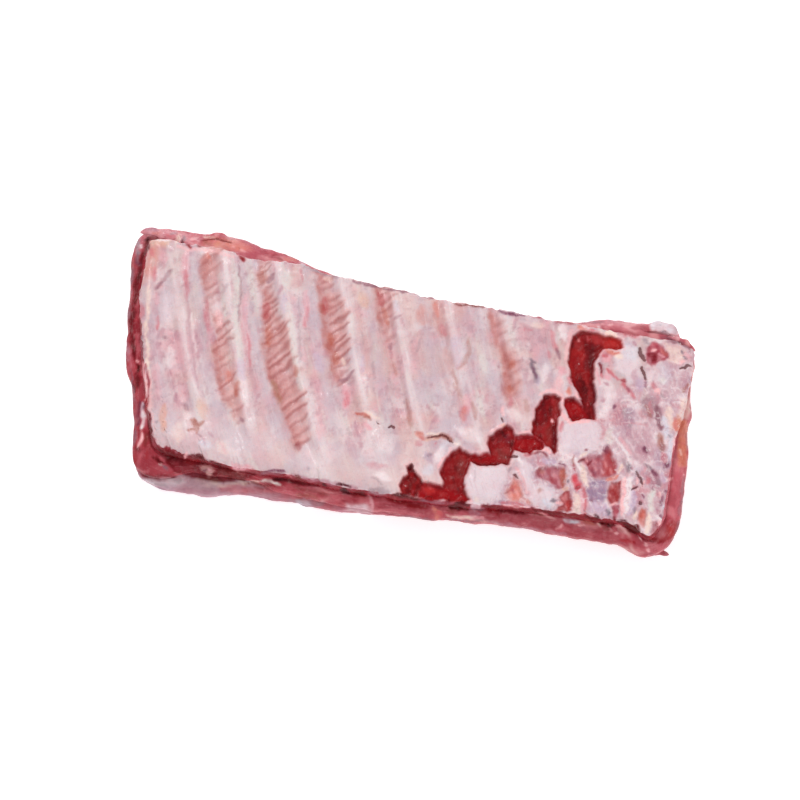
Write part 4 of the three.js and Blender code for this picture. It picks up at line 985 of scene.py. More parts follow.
# Ridges and dips on the bone side: a height, a half width and a line.
RIDGES = [
    (0.35, 1.2, [(-138, 64), (-133, 42), (-124, 14), (-112, -17)]),
    (0.3, 1.0, [(-106, 62), (-98, 30), (-83, -6)]),
    (0.3, 1.2, [(-67, 60), (-57, 25)]),
    (0.9, 5.5, [(-3, -30), (4, -38)]),
    (0.9, 3.4, [(-102, -55), (-95, -55)]),
    (0.8, 4.4, [(66, 0), (74, -5)]),
    (0.8, 4.4, [(40, -17), (50, -20)]),
    (0.8, 4.0, [(26, -37), (31, -43)]),
    (0.9, 4.6, [(117, 26), (121, 10)]),
    (0.8, 1.6, [(88, -22), (98, -23), (106, -21), (111, -19)]),
    (0.8, 1.6, [(124, 2), (131, -8), (138, -17)]),
    (0.7, 2.2, [(141, -27), (142, -48)]),
    (0.6, 2.4, [(156, -32), (157, -48)]),
    (0.7, 3.0, [(152, 57), (163, 54)]),
    (0.5, 0.9, [(130, -29.5), (135, -29), (137, -38), (139, -50)]),
    (0.5, 0.8, [(107.5, -20), (109, -23), (111.5, -27), (115, -33)]),
    (-0.8, 3.0, [(142, 22), (147, 12)]),
    (-0.8, 1.6, [(148.5, 20), (153, 7)]),
    (-0.9, 2.6, [(150, -18), (156, -27)]),
    (-0.6, 2.0, [(153, 2), (156, -7)]),
    (-0.7, 3.0, [(122, -31), (125, -46)]),
]

# Colours as they look, in sRGB from 0 to 255.
MEMBRANE = (207, 177, 181)
MEMBRANE_LIGHT = (225, 206, 208)
MEMBRANE_PINK = (199, 152, 160)
MEMBRANE_COOL = (194, 174, 184)
MEMBRANE_WARM = (214, 172, 164)
BEYOND = (206, 172, 180)
GAP_BODY = (204, 149, 147)
GAP_DEEP = (180, 108, 104)
GAP_STROKE = (166, 100, 99)
GAP_LIGHT = (228, 176, 174)
MARROW_DARK = (96, 6, 12)
MARROW_RED = (134, 16, 20)
MARROW_LIGHT = (158, 46, 46)
SLIT_SHADE = (92, 22, 26)
LEAN_DARK = (134, 28, 40)
LEAN_RED = (168, 58, 68)
LEAN_MAUVE = (188, 96, 108)
LEAN_FILM = (226, 158, 160)
FAT_WHITE = (200, 160, 171)
FAT_SHADE_MAUVE = (172, 122, 138)
MOTTLE_LIGHT = (250, 205, 205)
MOTTLE_DARK = (116, 26, 36)
FLOOR_WHITE = (250, 250, 251)

# Stage, lights and camera, in metres, watts and degrees
FLOOR_SIZE = 8
FLOOR_GLOW = 0.45
WORLD_STRENGTH = 0.45
LAMPS = {
    "key": {"place": (-1.0, 1.5, 2.2), "size": 0.6, "power": 46},
    "fill": {"place": (1.4, -1.4, 1.6), "size": 1.2, "power": 26},
}
CAMERA_AZIMUTH = 11.5
CAMERA_ELEVATION = 70
CAMERA_DISTANCE = 0.9
CAMERA_TARGET = (0.0038, -0.0046, 0.020)
CAMERA_LENS = 70


# Numbers on arrays

def smooth(low, high, value):
    share = np.clip((value - low) / (high - low), 0, 1)
    return share * share * (3 - 2 * share)


def mix(a, b, share):
    return a + (b - a) * share


def wave(x, y):
    return (np.sin(x * 0.07 + np.cos(y * 0.05) * 2) * np.cos(y * 0.09 + x * 0.021)
            + 0.5 * np.sin(x * 0.19 + 1.7) * np.sin(y * 0.17 + x * 0.04))


def cloud(x, y, size, seed, octaves=1):
    """Smooth random values of about -1 to 1, with lumps of a size in mm; each octave halves the size."""
    total = np.zeros(np.shape(x))
    for octave in range(octaves):
        table = np.random.default_rng(seed * 10 + octave).uniform(-1, 1, (256, 256))
        u = x / size * 2 ** octave
        v = y / size * 2 ** octave
        i = np.floor(u).astype(int)
        j = np.floor(v).astype(int)
        across = smooth(0, 1, u - i)
        along = smooth(0, 1, v - j)
        low = mix(table[i % 256, j % 256], table[(i + 1) % 256, j % 256], across)
        high = mix(table[i % 256, (j + 1) % 256], table[(i + 1) % 256, (j + 1) % 256], across)
        total += mix(low, high, along) * 0.5 ** octave
    return total


def ridges(x, y, size, seed):
    """Thin branching ridges, 0 to 1, about a size in mm apart."""
    return 1 - smooth(0, 0.35, np.abs(cloud(x, y, size, seed, 2)))


def segment_distance(x, y, start, end):
    dx = end[0] - start[0]
    dy = end[1] - start[1]
    share = np.clip(((x - start[0]) * dx + (y - start[1]) * dy) / (dx * dx + dy * dy), 0, 1)
    return np.hypot(x - start[0] - share * dx, y - start[1] - share * dy), share


def outline_distance(outline, x, y):
    """Distance to a closed outline, negative inside."""
    nearest = np.full(np.shape(x), 1e6)
    inside = np.zeros(np.shape(x), bool)
    for start, end in zip(outline, outline[1:] + outline[:1]):
        nearest = np.minimum(nearest, segment_distance(x, y, start, end)[0])
        rise = end[1] - start[1]
        if rise:
            reach = start[0] + (y - start[1]) * (end[0] - start[0]) / rise
            inside ^= ((start[1] > y) != (end[1] > y)) & (x < reach)
    return np.where(inside, -nearest, nearest)


def nearest_outline(outlines, x, y):
    return np.min([outline_distance(outline, x, y) for outline in outlines], axis=0)


def line_distance(half_width, line, x, y):
    """Distance to the edge of a drawn line that thins towards its ends, negative on the line."""
    lengths = [math.dist(start, end) for start, end in zip(line, line[1:])]
    total = sum(lengths)
    nearest = np.full(np.shape(x), 1e6)
    run = 0
    for start, end, length in zip(line, line[1:], lengths):
        distance, share = segment_distance(x, y, start, end)
        place = (run + share * length) / total
        width = half_width * (0.45 + 0.55 * np.sqrt(4 * place * (1 - place)))
        nearest = np.minimum(nearest, distance - width)
        run += length
    return nearest


def close_to(points, reach, x, y):
    """Which places lie within a reach of the box around some points."""
    xs, ys = zip(*points)
    return (x > min(xs) - reach) & (x < max(xs) + reach) & (y > min(ys) - reach) & (y < max(ys) + reach)


def line_share(half_width, line, x, y, blur=1):
    """1 on a drawn line, falling to 0 beside it."""
    softness = blur * (0.3 + 0.45 * half_width)
    near = close_to(line, half_width + softness, x, y)
    share = np.zeros(np.shape(x))
    if near.any():
        share[near] = 1 - smooth(-softness, softness, line_distance(half_width, line, x[near], y[near]))
    return share


class Paint:
    """Colours on a surface's points, laid on in layers."""

    def __init__(self, base, x, y):
        self.x = x
        self.y = y
        self.rough_x = x + 0.8 * cloud(x, y, 4, 11, 3)
        self.rough_y = y + 0.8 * cloud(x, y, 4, 21, 3)
        self.uneven = 0.9 + 0.25 * cloud(x, y, 2.6, 31, 2)
        self.colours = np.tile(np.array(base, float), (len(x), 1))

    def lay(self, colour, share):
        self.colours = mix(self.colours, np.array(colour, float), np.clip(share, 0, 1)[:, None])

    def fill(self, areas):
        """Lays tinted areas with uneven edges."""
        for tint, strength, softness, outline in areas:
            near = close_to(outline, softness, self.rough_x, self.rough_y)
            share = np.zeros(len(self.x))
            distance = outline_distance(outline, self.rough_x[near], self.rough_y[near])
            share[near] = 1 - smooth(-softness, softness, distance)
            self.lay(TINTS[tint], strength * self.uneven * share)

    def draw(self, marks):
        """Lays drawn marks with uneven edges and strength."""
        for tint, strength, half_width, line in marks:
            share = line_share(half_width, line, self.rough_x, self.rough_y)
            self.lay(TINTS[tint], strength * self.uneven * share)

    def linear(self):
        """The colours as linear RGBA."""
        values = self.colours / 255
        values = np.where(values <= 0.04045, values / 12.92, ((values + 0.055) / 1.055) ** 2.4)
        return np.column_stack([values, np.ones(len(values))])


# The slab's form

def gap_place(gap, x, y):
    """How far right of a gap's middle each point is, in mm, and how strongly the furrow shows there."""
    forward = BACK_EDGE - y
    centre = gap["start"] + RIB_TILT * forward + gap["bend"] * forward * forward
    fade = smooth(gap["end"] - 12, gap["end"] + 14, y)
    return x - centre, fade


def across_ribs(x, y):
    """A coordinate in mm that stays about the same along each rib."""
    forward = BACK_EDGE - y
    return x - RIB_TILT * forward - RIB_CURVE * forward ** 2


def furrows(x, y):
    depth = 0
    for gap in RIB_GAPS:
        offset, fade = gap_place(gap, x, y)
        depth = depth + gap["depth"] * fade * (1 - smooth(0.35, 1.5, np.abs(offset) / gap["half_width"]))
    return depth


def beyond_cut(x, y):
    return smooth(-6, 10, x - 96 + 0.9 * (-y - 8))


def plate_height(x, y, places):
    cupped = 0.0005 * y * y - 0.00004 * (x - 20) ** 2
    return (PLATE_TOP + cupped + 0.35 * wave(x, y) - FURROW_SWELL * furrows(x, y) - 1.2 * beyond_cut(x, y)
            - CUT_DEPTH * (1 - smooth(-1.2, 0.7, places["cut"]))
            + CARTILAGE_HEIGHT * (1 - smooth(-3.0, 1.0, places["cartilage"]))
            - HOLLOW_DEPTH * (1 - smooth(-1.2, 0.8, places["meat"])))


def fat_seam(x):
    return np.interp(x, [SLAB_LEFT, SLAB_RIGHT], [FAT_SEAM_LEFT, FAT_SEAM_RIGHT])


def seen_from_front(x, y, z):
    """Where a point below the plate's top shows on it, seen from an eye above the front edge."""
    share = (PLATE_TOP - z) / (EYE[2] - z)
    return mix(x, EYE[0], share), mix(y, EYE[1], share)


def spline(points, shares):
    """Points of a Catmull-Rom curve at shares of its length, in two or three dimensions."""
    knots = np.array(points, float)
    ends = np.vstack([knots[:1], knots, knots[-1:]])

    def at(place):
        i = np.minimum(place.astype(int), len(knots) - 2)
        t = (place - i)[:, None]
        a, b, c, d = ends[i], ends[i + 1], ends[i + 2], ends[i + 3]
        return 0.5 * (2 * b + (c - a) * t + (2 * a - 5 * b + 4 * c - d) * t ** 2
                      + (3 * b - 3 * c + d - a) * t ** 3)

    fine = np.linspace(0, len(knots) - 1, 60 * len(knots))
    curve = at(fine)
    run = np.concatenate([[0], np.cumsum(np.linalg.norm(np.diff(curve, axis=0), axis=1))])
    return at(np.interp(shares * run[-1], run, fine))


class Rim:
    """The plate's closed outline in even steps, with its outward directions and the overhangs below it."""

    def __init__(self, across, lengthwise, rounding=CORNER_ROUNDING):
        self.across = across
        self.lengthwise = lengthwise
        steps = dict(zip(SIDES, (across, lengthwise, across, lengthwise)))
        shares = {side: np.arange(count) / count for side, count in steps.items()}
        raw = np.vstack([spline(PLATE_OUTLINE[side], shares[side]) for side in SIDES])
        self.step = np.hypot(*(np.roll(raw, -1, axis=0) - raw).T).mean()
        self.points = self.softened(raw, rounding)
        reach = max(1, round(NEIGHBOUR_REACH / self.step))
        chord = np.roll(self.points, -reach, axis=0) - np.roll(self.points, reach, axis=0)
        self.out = np.stack([chord[:, 1], -chord[:, 0]], axis=1)
        self.out /= np.hypot(*self.out.T)[:, None]
        self.lean = self.read(LEAN_OVERHANG, shares)
        self.fat = self.read(FAT_OVERHANG, shares)
        self.run = np.arange(len(raw)) * self.step

    def softened(self, loop, rounding):
        """A closed loop with its corners rounded off over a distance in mm."""
        turns = np.fft.fftfreq(len(loop), self.step)[:, None]
        softening = np.exp(-2 * (math.pi * rounding * turns) ** 2)
        return np.fft.ifft(np.fft.fft(loop, axis=0) * softening, axis=0).real

    def read(self, table, shares):
        values = []
        for side in SIDES:
            knots = np.array(table[side], float)
            place = shares[side] * (len(knots) - 1)
            i = np.minimum(place.astype(int), len(knots) - 2)
            values.append(mix(knots[i], knots[i + 1], smooth(0, 1, place - i)))
        return np.concatenate(values)

    def pushed(self, push):
        return self.points + self.out * push[:, None]


def rows_between(controls, count):
    """Rows of a side as (push, height), from a few of them given top down."""
    pushes, heights = (np.array(part) for part in zip(*controls))
    rows = []
    for place in np.linspace(0, len(controls) - 1, count):
        i = min(int(place), len(controls) - 2)
        rows.append((eased(pushes, i, place - i), eased(heights, i, place - i)))
    return rows


def eased(values, i, t):
    """A smooth curve through values, t of the way from one to the next."""
    a, b = values[i], values[i + 1]
    slope_a = 0.5 * (b - values[max(i - 1, 0)])
    slope_b = 0.5 * (values[min(i + 2, len(values) - 1)] - a)
    return ((2 * t ** 3 - 3 * t ** 2 + 1) * a + (t ** 3 - 2 * t ** 2 + t) * slope_a
            + (-2 * t ** 3 + 3 * t ** 2) * b + (t ** 3 - t ** 2) * slope_b)


# Mesh building

def ring_faces(first, second, count):
    i = np.arange(count)
    after = (i + 1) % count
    return np.stack([first[i], second[i], second[after], first[after]], axis=1)


def make_mesh(name, points, quads, caps, attributes):
    """A mesh object from points in outline coordinates, with attributes on its points."""
    mesh = bpy.data.meshes.new(name)
    counts = np.concatenate([np.full(len(quads), 4), [len(cap) for cap in caps]]).astype(np.int32)
    corners = np.concatenate([quads.ravel()] + [np.asarray(cap) for cap in caps]).astype(np.int32)
    mesh.vertices.add(len(points))
    mesh.vertices.foreach_set("co", (points * MM).astype(np.float32).ravel())
    mesh.loops.add(len(corners))
    mesh.loops.foreach_set("vertex_index", corners)
    mesh.polygons.add(len(counts))
    mesh.polygons.foreach_set("loop_start", np.concatenate([[0], np.cumsum(counts)[:-1]]).astype(np.int32))
    mesh.update(calc_edges=True)
    mesh.polygons.foreach_set("use_smooth", np.ones(len(counts), bool))
    kinds = {1: ("FLOAT", "value"), 3: ("FLOAT_VECTOR", "vector"), 4: ("FLOAT_COLOR", "color")}
    for key, values in attributes.items():
        values = np.asarray(values, np.float32)
        kind, field = kinds[values.shape[1] if values.ndim == 2 else 1]
        layer = mesh.attributes.new(key, kind, "POINT")
        layer.data.foreach_set(field, values.ravel())
    mesh.validate()
    piece = bpy.data.objects.new(name, mesh)
    bpy.context.scene.collection.objects.link(piece)
    return piece


def frame_shift(node, points):
    """How far the outline's coordinates lie from the frame's, from a CAD node's box."""
    low, high = (np.array(corner[:2]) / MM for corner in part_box(node))
    middle = (points[:, :2].min(axis=0) + points[:, :2].max(axis=0)) / 2
    return np.append((low + high) / 2 - middle, 0)


# The rib plate

def bone_side_places(x, y):
    """Distances in mm to the outlines on the bone side, with uneven edges."""
    rough_x = x + 0.9 * cloud(x, y, 4.5, 41, 3)
    rough_y = y + 0.9 * cloud(x, y, 4.5, 51, 3)
    places = {
        "marrow": nearest_outline(MARROW_OUTLINES, rough_x, rough_y),
        "link": nearest_outline(LINK_OUTLINES, rough_x, rough_y),
        "cartilage": nearest_outline(CARTILAGE_OUTLINES, rough_x, rough_y),
        "meat": nearest_outline([outline for _, _, outline in MEAT_PATCHES], rough_x, rough_y),
        "slit": np.min([line_distance(width, line, rough_x, rough_y) for width, line in SLITS], axis=0),
    }
    places["cut"] = np.minimum(places["marrow"], places["link"])
    places.update(gap_meat(x, y))
    return places


def band_strokes(band, random):
    """Slanting strokes of a band of meat, each a strength, a half width and a line to its right edge."""
    heights, lefts, rights, reds = (np.array(column) for column in zip(*band["rows"][::-1]))
    strokes = []
    start = heights[0]
    while start < heights[-1]:
        x = mix(np.interp(start, heights, lefts), np.interp(start, heights, rights), band["solid"])
        slope = np.interp(start, (-32, -20), (STROKE_SLOPE_FRONT, band["slope"]))
        slope *= random.uniform(0.85, 1.15)
        beyond = random.uniform(-1.5, 1.5)
        line = [(x, start)]
        while x < np.interp(line[-1][1], heights, rights) + beyond:
            x += 1.5
            line.append((x, line[-1][1] + 1.5 * slope * random.uniform(0.7, 1.3)))
        strength = band["strokes"] * smooth(0.1, 0.6, np.interp(line[len(line) // 2][1], heights, reds))
        if len(line) > 2:
            strokes.append((strength * random.uniform(0.4, 1.0), random.uniform(0.7, 1.3), line))
        start += band["spacing"] * random.uniform(0.75, 1.25)
    return strokes


def gap_meat(x, y):
    """Meat between ribs, 0 to 1: how red it shows, how deep, its dark strokes and the light between them."""
    shares = {key: np.zeros(np.shape(x)) for key in ("red", "deep", "stroke", "light")}
    rough_x = x + 1.4 * cloud(x, y, 6, 61, 3)
    rough_y = y + 0.5 * cloud(x, y, 3, 71, 2)
    for number, band in enumerate(MEAT_BANDS):
        heights, lefts, rights, reds = (np.array(column) for column in zip(*band["rows"][::-1]))
        left = np.interp(y, heights, lefts)
        right = np.interp(y, heights, rights)
        sides = smooth(left - 2, left + 2.4, rough_x) * (1 - smooth(right - 3.5, right + 1.8, rough_x))
        red = np.interp(y, heights, reds, left=0) * sides * (0.85 + 0.35 * cloud(x, y, 6, 81 + number, 3))
        shares["red"] = np.maximum(shares["red"], red)
        deep = red * (1 - smooth(0.15, 0.75, (rough_x - left) / (right - left)))
        shares["deep"] = np.maximum(shares["deep"], deep)
        for strength, half_width, line in band_strokes(band, np.random.default_rng(300 + number)):
            dark = strength * line_share(half_width, line, rough_x, rough_y, STROKE_SOFTNESS)
            shares["stroke"] = np.maximum(shares["stroke"], dark)
            above = [(px, py + 0.5 * band["spacing"]) for px, py in line]
            light = strength * line_share(half_width, above, rough_x, rough_y, STROKE_SOFTNESS)
            shares["light"] = np.maximum(shares["light"], light)
    return shares


def rib_shine(x, y):
    """Painted highlights along the rib surfaces right of the gaps, and cooler hollows left of them, each 0
    to 1.
    """
    pale = np.zeros(np.shape(x))
    cool = np.zeros(np.shape(x))
    for gap in RIB_GAPS:
        offset, _ = gap_place(gap, x, y)
        width = gap["half_width"]
        pale = np.maximum(pale, np.exp(-((offset - width - 4.5) / 3.2) ** 2))
        cool = np.maximum(cool, np.exp(-((offset + width + 5) / 3.5) ** 2))
    return pale, cool


def strands(x, y):
    """Stringy tissue beyond the cut, 0 to 1: thin strands that mostly run down to the right."""
    along = 0.45 * x - 0.9 * y
    across = 0.9 * x + 0.45 * y + 1.6 * cloud(x, y, 8, 101)
    return ridges(along * 0.38, across, 3.4, 103)


def fine_relief(x, y, places):
    """Small relief of the bone side in mm: streaks, muscle strokes, torn tissue and spongy marrow."""
    across = across_ribs(x, y)
    beyond = beyond_cut(x, y)
    streaks = 0.06 * cloud(across, y * 0.15, 1.8, 111, 2) + 0.16 * cloud(across, y * 0.2, 6, 113)
    streaks = streaks + 0.22 * cloud(x, y, 8, 119, 3)
    strokes = 0.12 * places["light"] - 0.2 * places["stroke"]
    sponge = (1 - smooth(-0.6, 0.4, places["cut"])) * 0.3 * cloud(x, y, 2.6, 115, 2)
    lip = 0.3 * np.exp(-((places["cut"] - 1.5) / 1.0) ** 2)
    torn_tissue = beyond * (0.5 * cloud(x, y, 7, 117, 3) + 0.75 * strands(x, y))
    torn_tissue *= smooth(-0.5, 1.0, places["meat"]) * (1 - 0.7 * (1 - smooth(-3, 0, places["cartilage"])))
    slits = -0.9 * (1 - smooth(-0.4, 0.5, places["slit"]))
    drawn = sum(height * line_share(width, line, x, y) for height, width, line in RIDGES)
    return (streaks + strokes) * (1 - 0.6 * beyond) + sponge + lip + torn_tissue + slits + drawn


def patch(rim, ring):
    """A grid of points between the four sides of a closed ring: the side along X by the side along Y."""
    n, m = rim.lengthwise, rim.across
    loop = np.vstack([ring, ring[:1]])
    left = loop[0:m + 1][::-1]
    front = loop[m:m + n + 1]
    right = loop[m + n:2 * m + n + 1]
    back = loop[2 * m + n:][::-1]
    u = np.linspace(0, 1, n + 1)[:, None, None]
    v = np.linspace(0, 1, m + 1)[None, :, None]
    between = ((1 - v) * front[:, None] + v * back[:, None] + (1 - u) * left[None] + u * right[None])
    corners = ((1 - u) * (1 - v) * front[0] + u * (1 - v) * front[-1]
               + u * v * back[-1] + (1 - u) * v * back[0])
    return between - corners


def grid_ring(rim):
    """Indices of the patch's outer points in the order of the ring."""
    n, m = rim.lengthwise, rim.across
    index = np.arange((n + 1) * (m + 1)).reshape(n + 1, m + 1)
    return np.concatenate([index[0, m:0:-1], index[0:n, 0], index[n, 0:m], index[n:0:-1, m]])


def grid_faces(rim):
    index = np.arange((rim.lengthwise + 1) * (rim.across + 1)).reshape(rim.lengthwise + 1, rim.across + 1)
    corners = [index[:-1, :-1], index[1:, :-1], index[1:, 1:], index[:-1, 1:]]
    return np.stack(corners, axis=-1).reshape(-1, 4)


def torn(ring):
    """Ragged places in or out along a torn edge, in mm."""
    x, y = ring.T
    ragged = 0.7 * cloud(x, y, 3.2, 121, 2) + 0.7 * cloud(x, y, 12, 123)
    notches = smooth(0.35, 0.8, cloud(x, y, 5, 125, 2))
    return ragged - 1.6 * notches * smooth(20, 60, -y)


def side_lumps(rim, height, amount):
    """Uneven places on a side, in mm: soft lumps, and meat fibres that run along the side."""
    run = rim.run + 0.6 * height
    lumps = cloud(run, height * 1.3, 7, 131, 3)
    fibres = cloud(run * 0.22, height + 0.8 * cloud(run, height, 9, 133), 1.5, 135, 2)
    return amount * (lumps + 0.45 * fibres)


def plate_rows(rim, rim_z):
    """The plate's side, top down: a ragged lip, a recess under it, and a foot on the lean."""
    x, y = rim.points.T
    recess = 0.2 + 0.3 * cloud(x, y, 6, 141)
    level = np.ones(len(x))
    return [
        (torn(rim.points), rim_z),
        (torn(rim.points) + 0.4, rim_z - 0.8),
        (0.05 * rim.lean - recess, level * (PLATE_EDGE - 2.3)),
        (0.16 * rim.lean - 0.8 * recess, level * (PLATE_EDGE - 4.6)),
        (0.22 * rim.lean - 0.3, level * (PLATE_SEAM + SEAM_GAP)),
    ]


def rib_plate():
    rim = Rim(*PLATE_STEPS, PLATE_ROUNDING)
    edge = rim.points + rim.out * torn(rim.points)[:, None]
    flat = patch(rim, edge)
    x, y = flat[..., 0].ravel(), flat[..., 1].ravel()
    places = bone_side_places(x, y)
    u = np.linspace(0, 1, rim.lengthwise + 1)[:, None]
    v = np.linspace(0, 1, rim.across + 1)[None, :]
    inside = np.minimum(np.minimum(u, 1 - u) * PLATE_LENGTH, np.minimum(v, 1 - v) * PLATE_WIDTH).ravel()
    height = plate_height(x, y, places)
    ring = grid_ring(rim)
    rim_height = (PLATE_EDGE + 0.5 * (height - PLATE_TOP))[ring][:, None]
    edge_height = patch(rim, rim_height)[..., 0].ravel()
    height = mix(edge_height, height, np.sqrt(smooth(0, RIM_ROUNDING, inside)))
    height += fine_relief(x, y, places) * smooth(0, 1.5, inside + 0.4)
    points = [np.column_stack([x, y, height])]
    quads = [grid_faces(rim)]
    rim_z = height[ring]
    depth = [np.zeros(len(x))]
    last = ring
    for number, (push, row_height) in enumerate(rows_between(plate_rows(rim, rim_z), PLATE_ROWS)[1:]):
        rough = side_lumps(rim, row_height, 0.35)
        points.append(np.column_stack([rim.pushed(push + rough), row_height]))
        depth.append(rim_z - row_height)
        start = len(x) + number * len(ring)
        current = np.arange(start, start + len(ring))
        quads.append(ring_faces(last, current, len(ring)))
        last = current
    points = np.vstack(points)
    points[:, 2] = np.maximum(points[:, 2], 0)
    shift = frame_shift("rib_plate", rim.pushed(0.16 * rim.lean))
    attributes = bone_side_attributes(points, np.concatenate(depth))
    piece = make_mesh("rib_plate_dressed", points + shift, np.vstack(quads), [last[::-1]], attributes)
    piece.data.materials.append(bone_side_material())
    return piece


def bone_side_attributes(points, depth):
    x, y, z = points.T
    places = bone_side_places(x, y)
    across = across_ribs(x, y)
    attributes = {key: np.clip(places[key], -6, 6) for key in ("cut", "slit")}
    attributes["along"] = np.column_stack([across, 0.1 * y, 0 * x])
    attributes["beyond"] = beyond_cut(x, y) * smooth(-1.5, 0.5, places["cartilage"])
    attributes["film"] = (1 - smooth(0.4, 1.4, depth)) * smooth(-1, 0.5, places["meat"])
    attributes["film"] *= 1 - 0.6 * places["red"]
    paint = Paint(MEMBRANE, *seen_from_front(x, y, z))
    paint_membrane(paint, across)
    paint_beyond(paint, places)
    paint_gaps(paint, places)
    paint.fill(BONE_SIDE_PATCHES)
    paint.draw(BONE_SIDE_MARKS)
    paint_meat_patches(paint, x, y, places)
    paint_cut(paint, places)
    paint_plate_side(paint, z, depth)
    attributes["paint"] = paint.linear()
    return attributes


def paint_membrane(paint, across):
    x, y = paint.x, paint.y
    broad = cloud(across, y * 0.35, 9, 161, 3)
    streak = cloud(across, y * 0.13, 2.8, 163, 2) * mix(0.45, 1, smooth(-50, -20, y))
    blotch = cloud(x, y, 7, 237, 3)
    front = 1 - smooth(-50, -25, y)
    paint.lay(MEMBRANE_PINK, 0.75 * smooth(0.0, 0.9, broad + 0.35 * streak) * (1 - 0.5 * front))
    paint.lay(MEMBRANE_LIGHT, 0.8 * smooth(0.0, 0.8, -broad - 0.35 * streak))
    paint.lay(TINTS["pink"], 0.45 * smooth(0.1, 0.8, blotch) * (1 - 0.5 * front))
    paint.lay(MEMBRANE_LIGHT, 0.6 * smooth(0.1, 0.8, -blotch))
    paint.lay(TINTS["mauve"], 0.45 * smooth(0.3, 0.9, cloud(x, y * 0.6, 4, 231, 3)) * (1 - 0.8 * front))
    paint.lay(TINTS["sage"], 0.6 * smooth(0.2, 0.9, cloud(across, y * 0.2, 5, 233, 3)))
    paint.lay(TINTS["dusky"], 0.22 * smooth(0.35, 0.9, cloud(x, y, 2.4, 235, 3)) * (1 - 0.7 * front))
    paint.lay(MEMBRANE_COOL, 0.6 * smooth(0.15, 0.8, cloud(x, y, 16, 165, 3)))
    paint.lay(MEMBRANE_WARM, 0.4 * smooth(0.2, 0.8, cloud(x, y, 18, 167, 3)))
    pale, cool = rib_shine(x, y)
    behind = smooth(-58, -30, y) * (1 - smooth(60, 90, x))
    paint.lay(MEMBRANE_COOL, 0.5 * cool * behind)
    # Painted highlight: lighter membrane along each rib, right of its gap.
    paint.lay(MEMBRANE_LIGHT, 0.7 * pale * behind * (0.9 + 0.8 * streak))
    paint.lay(MEMBRANE_LIGHT, 0.3 * front)


def paint_gaps(paint, places):
    """Meat between the ribs, deep red at its left, with slanting strokes."""
    paint.lay(GAP_BODY, 0.92 * places["red"])
    paint.lay(GAP_DEEP, 0.85 * places["deep"] * (0.8 + 0.5 * cloud(paint.x, paint.y, 3.5, 245, 3)))
    paint.lay(GAP_LIGHT, 0.65 * places["light"])
    paint.lay(GAP_STROKE, 0.8 * places["stroke"])


def paint_beyond(paint, places):
    x, y = paint.x, paint.y
    beyond = beyond_cut(x, y)
    paint.lay(BEYOND, beyond)
    broad = cloud(x, y, 9, 171, 3)
    paint.lay(TINTS["white"], 0.5 * beyond * smooth(0.1, 0.8, broad))
    paint.lay(TINTS["mauve"], 0.45 * beyond * smooth(0.15, 0.9, -broad))
    paint.lay(TINTS["blue"], 0.4 * beyond * smooth(0.2, 0.9, cloud(x, y, 12, 173, 2)))
    paint.lay(TINTS["white"], 0.4 * beyond * strands(x, y))
    veins = ridges(x * 0.7, y, 9, 175) * smooth(0, 0.5, cloud(x, y, 11, 177))
    paint.lay(TINTS["rose"], 0.35 * beyond * veins)
    paint.lay(TINTS["pale"], 0.8 * (1 - smooth(-1.5, 1, places["cartilage"])))


def paint_meat_patches(paint, x, y, places):
    """Bare meat beyond the cut, with a pale rim and fibres, under the marks that start there."""
    for tint, softness, outline in MEAT_PATCHES:
        paint.fill([("white", 0.22, softness + 1.6, outline), (tint, 0.92, softness, outline)])
    fibres = cloud(x + 0.5 * y, 0.35 * (y - 0.5 * x), 1.8, 247, 2)
    inside = 1 - smooth(-2, 0.3, places["meat"])
    paint.lay(TINTS["blush"], 0.4 * inside * smooth(0.1, 0.9, fibres))
    paint.lay(TINTS["claret"], 0.55 * inside * smooth(0.1, 0.9, -fibres))
    starts = [line[0] for _, _, _, line in BONE_SIDE_MARKS]
    over_meat = [x > MARKS_OVER_MEAT_X and y < MARKS_OVER_MEAT_Y for x, y in starts]
    paint.draw([mark for mark, over in zip(BONE_SIDE_MARKS, over_meat) if over])


def paint_cut(paint, places):
    """Dark streaky marrow and bright meat on the stepped cut, with a soft pink lip."""
    x, y = paint.x, paint.y
    paint.lay(TINTS["blush"], 0.35 * np.exp(-((places["cut"] - 1.0) / 0.7) ** 2))
    cut = Paint(MARROW_RED, x, y)
    streak = cloud(x + 0.36 * y, y * 0.3, 2.0, 221, 3)
    cut.lay(MARROW_DARK, 0.75 * smooth(0.05, 0.75, streak))
    cut.lay(MARROW_LIGHT, 0.6 * smooth(0.15, 0.9, -streak))
    cut.lay(TINTS["link"], 0.9 * (1 - smooth(-0.8, 0.8, places["link"])))
    cut.fill(MARROW_PATCHES)
    cut.draw(MARROW_MARKS)
    inside = 1 - smooth(-0.9, 0.9, places["cut"])
    paint.colours = mix(paint.colours, cut.colours, inside[:, None])


def paint_plate_side(paint, z, depth):
    """The plate's side below its pale lip: dark lean, with the marks that show on it."""
    x, y = paint.x, paint.y
    below = depth + 0.6 * cloud(x + 2 * z, y + 2 * z, 3, 181, 2)
    back = np.maximum(smooth(40, 56, y), smooth(156, 160, x) * smooth(-56, -48, y))
    side = mix(np.array(LEAN_DARK, float), np.array(LEAN_MAUVE, float), back[:, None])
    share = smooth(1.0, 1.8, below)
    paint.colours = mix(paint.colours, side, share[:, None])
    paint.lay(LEAN_RED, 0.6 * share * smooth(0.25, 0.7, cloud(x + 2 * z, y, 3, 183, 2)))
    paint_side_marks(paint)


def paint_side_marks(paint):
    paint.fill(SIDE_PATCHES)
    paint.draw(SIDE_MARKS)


# The lean and the fat

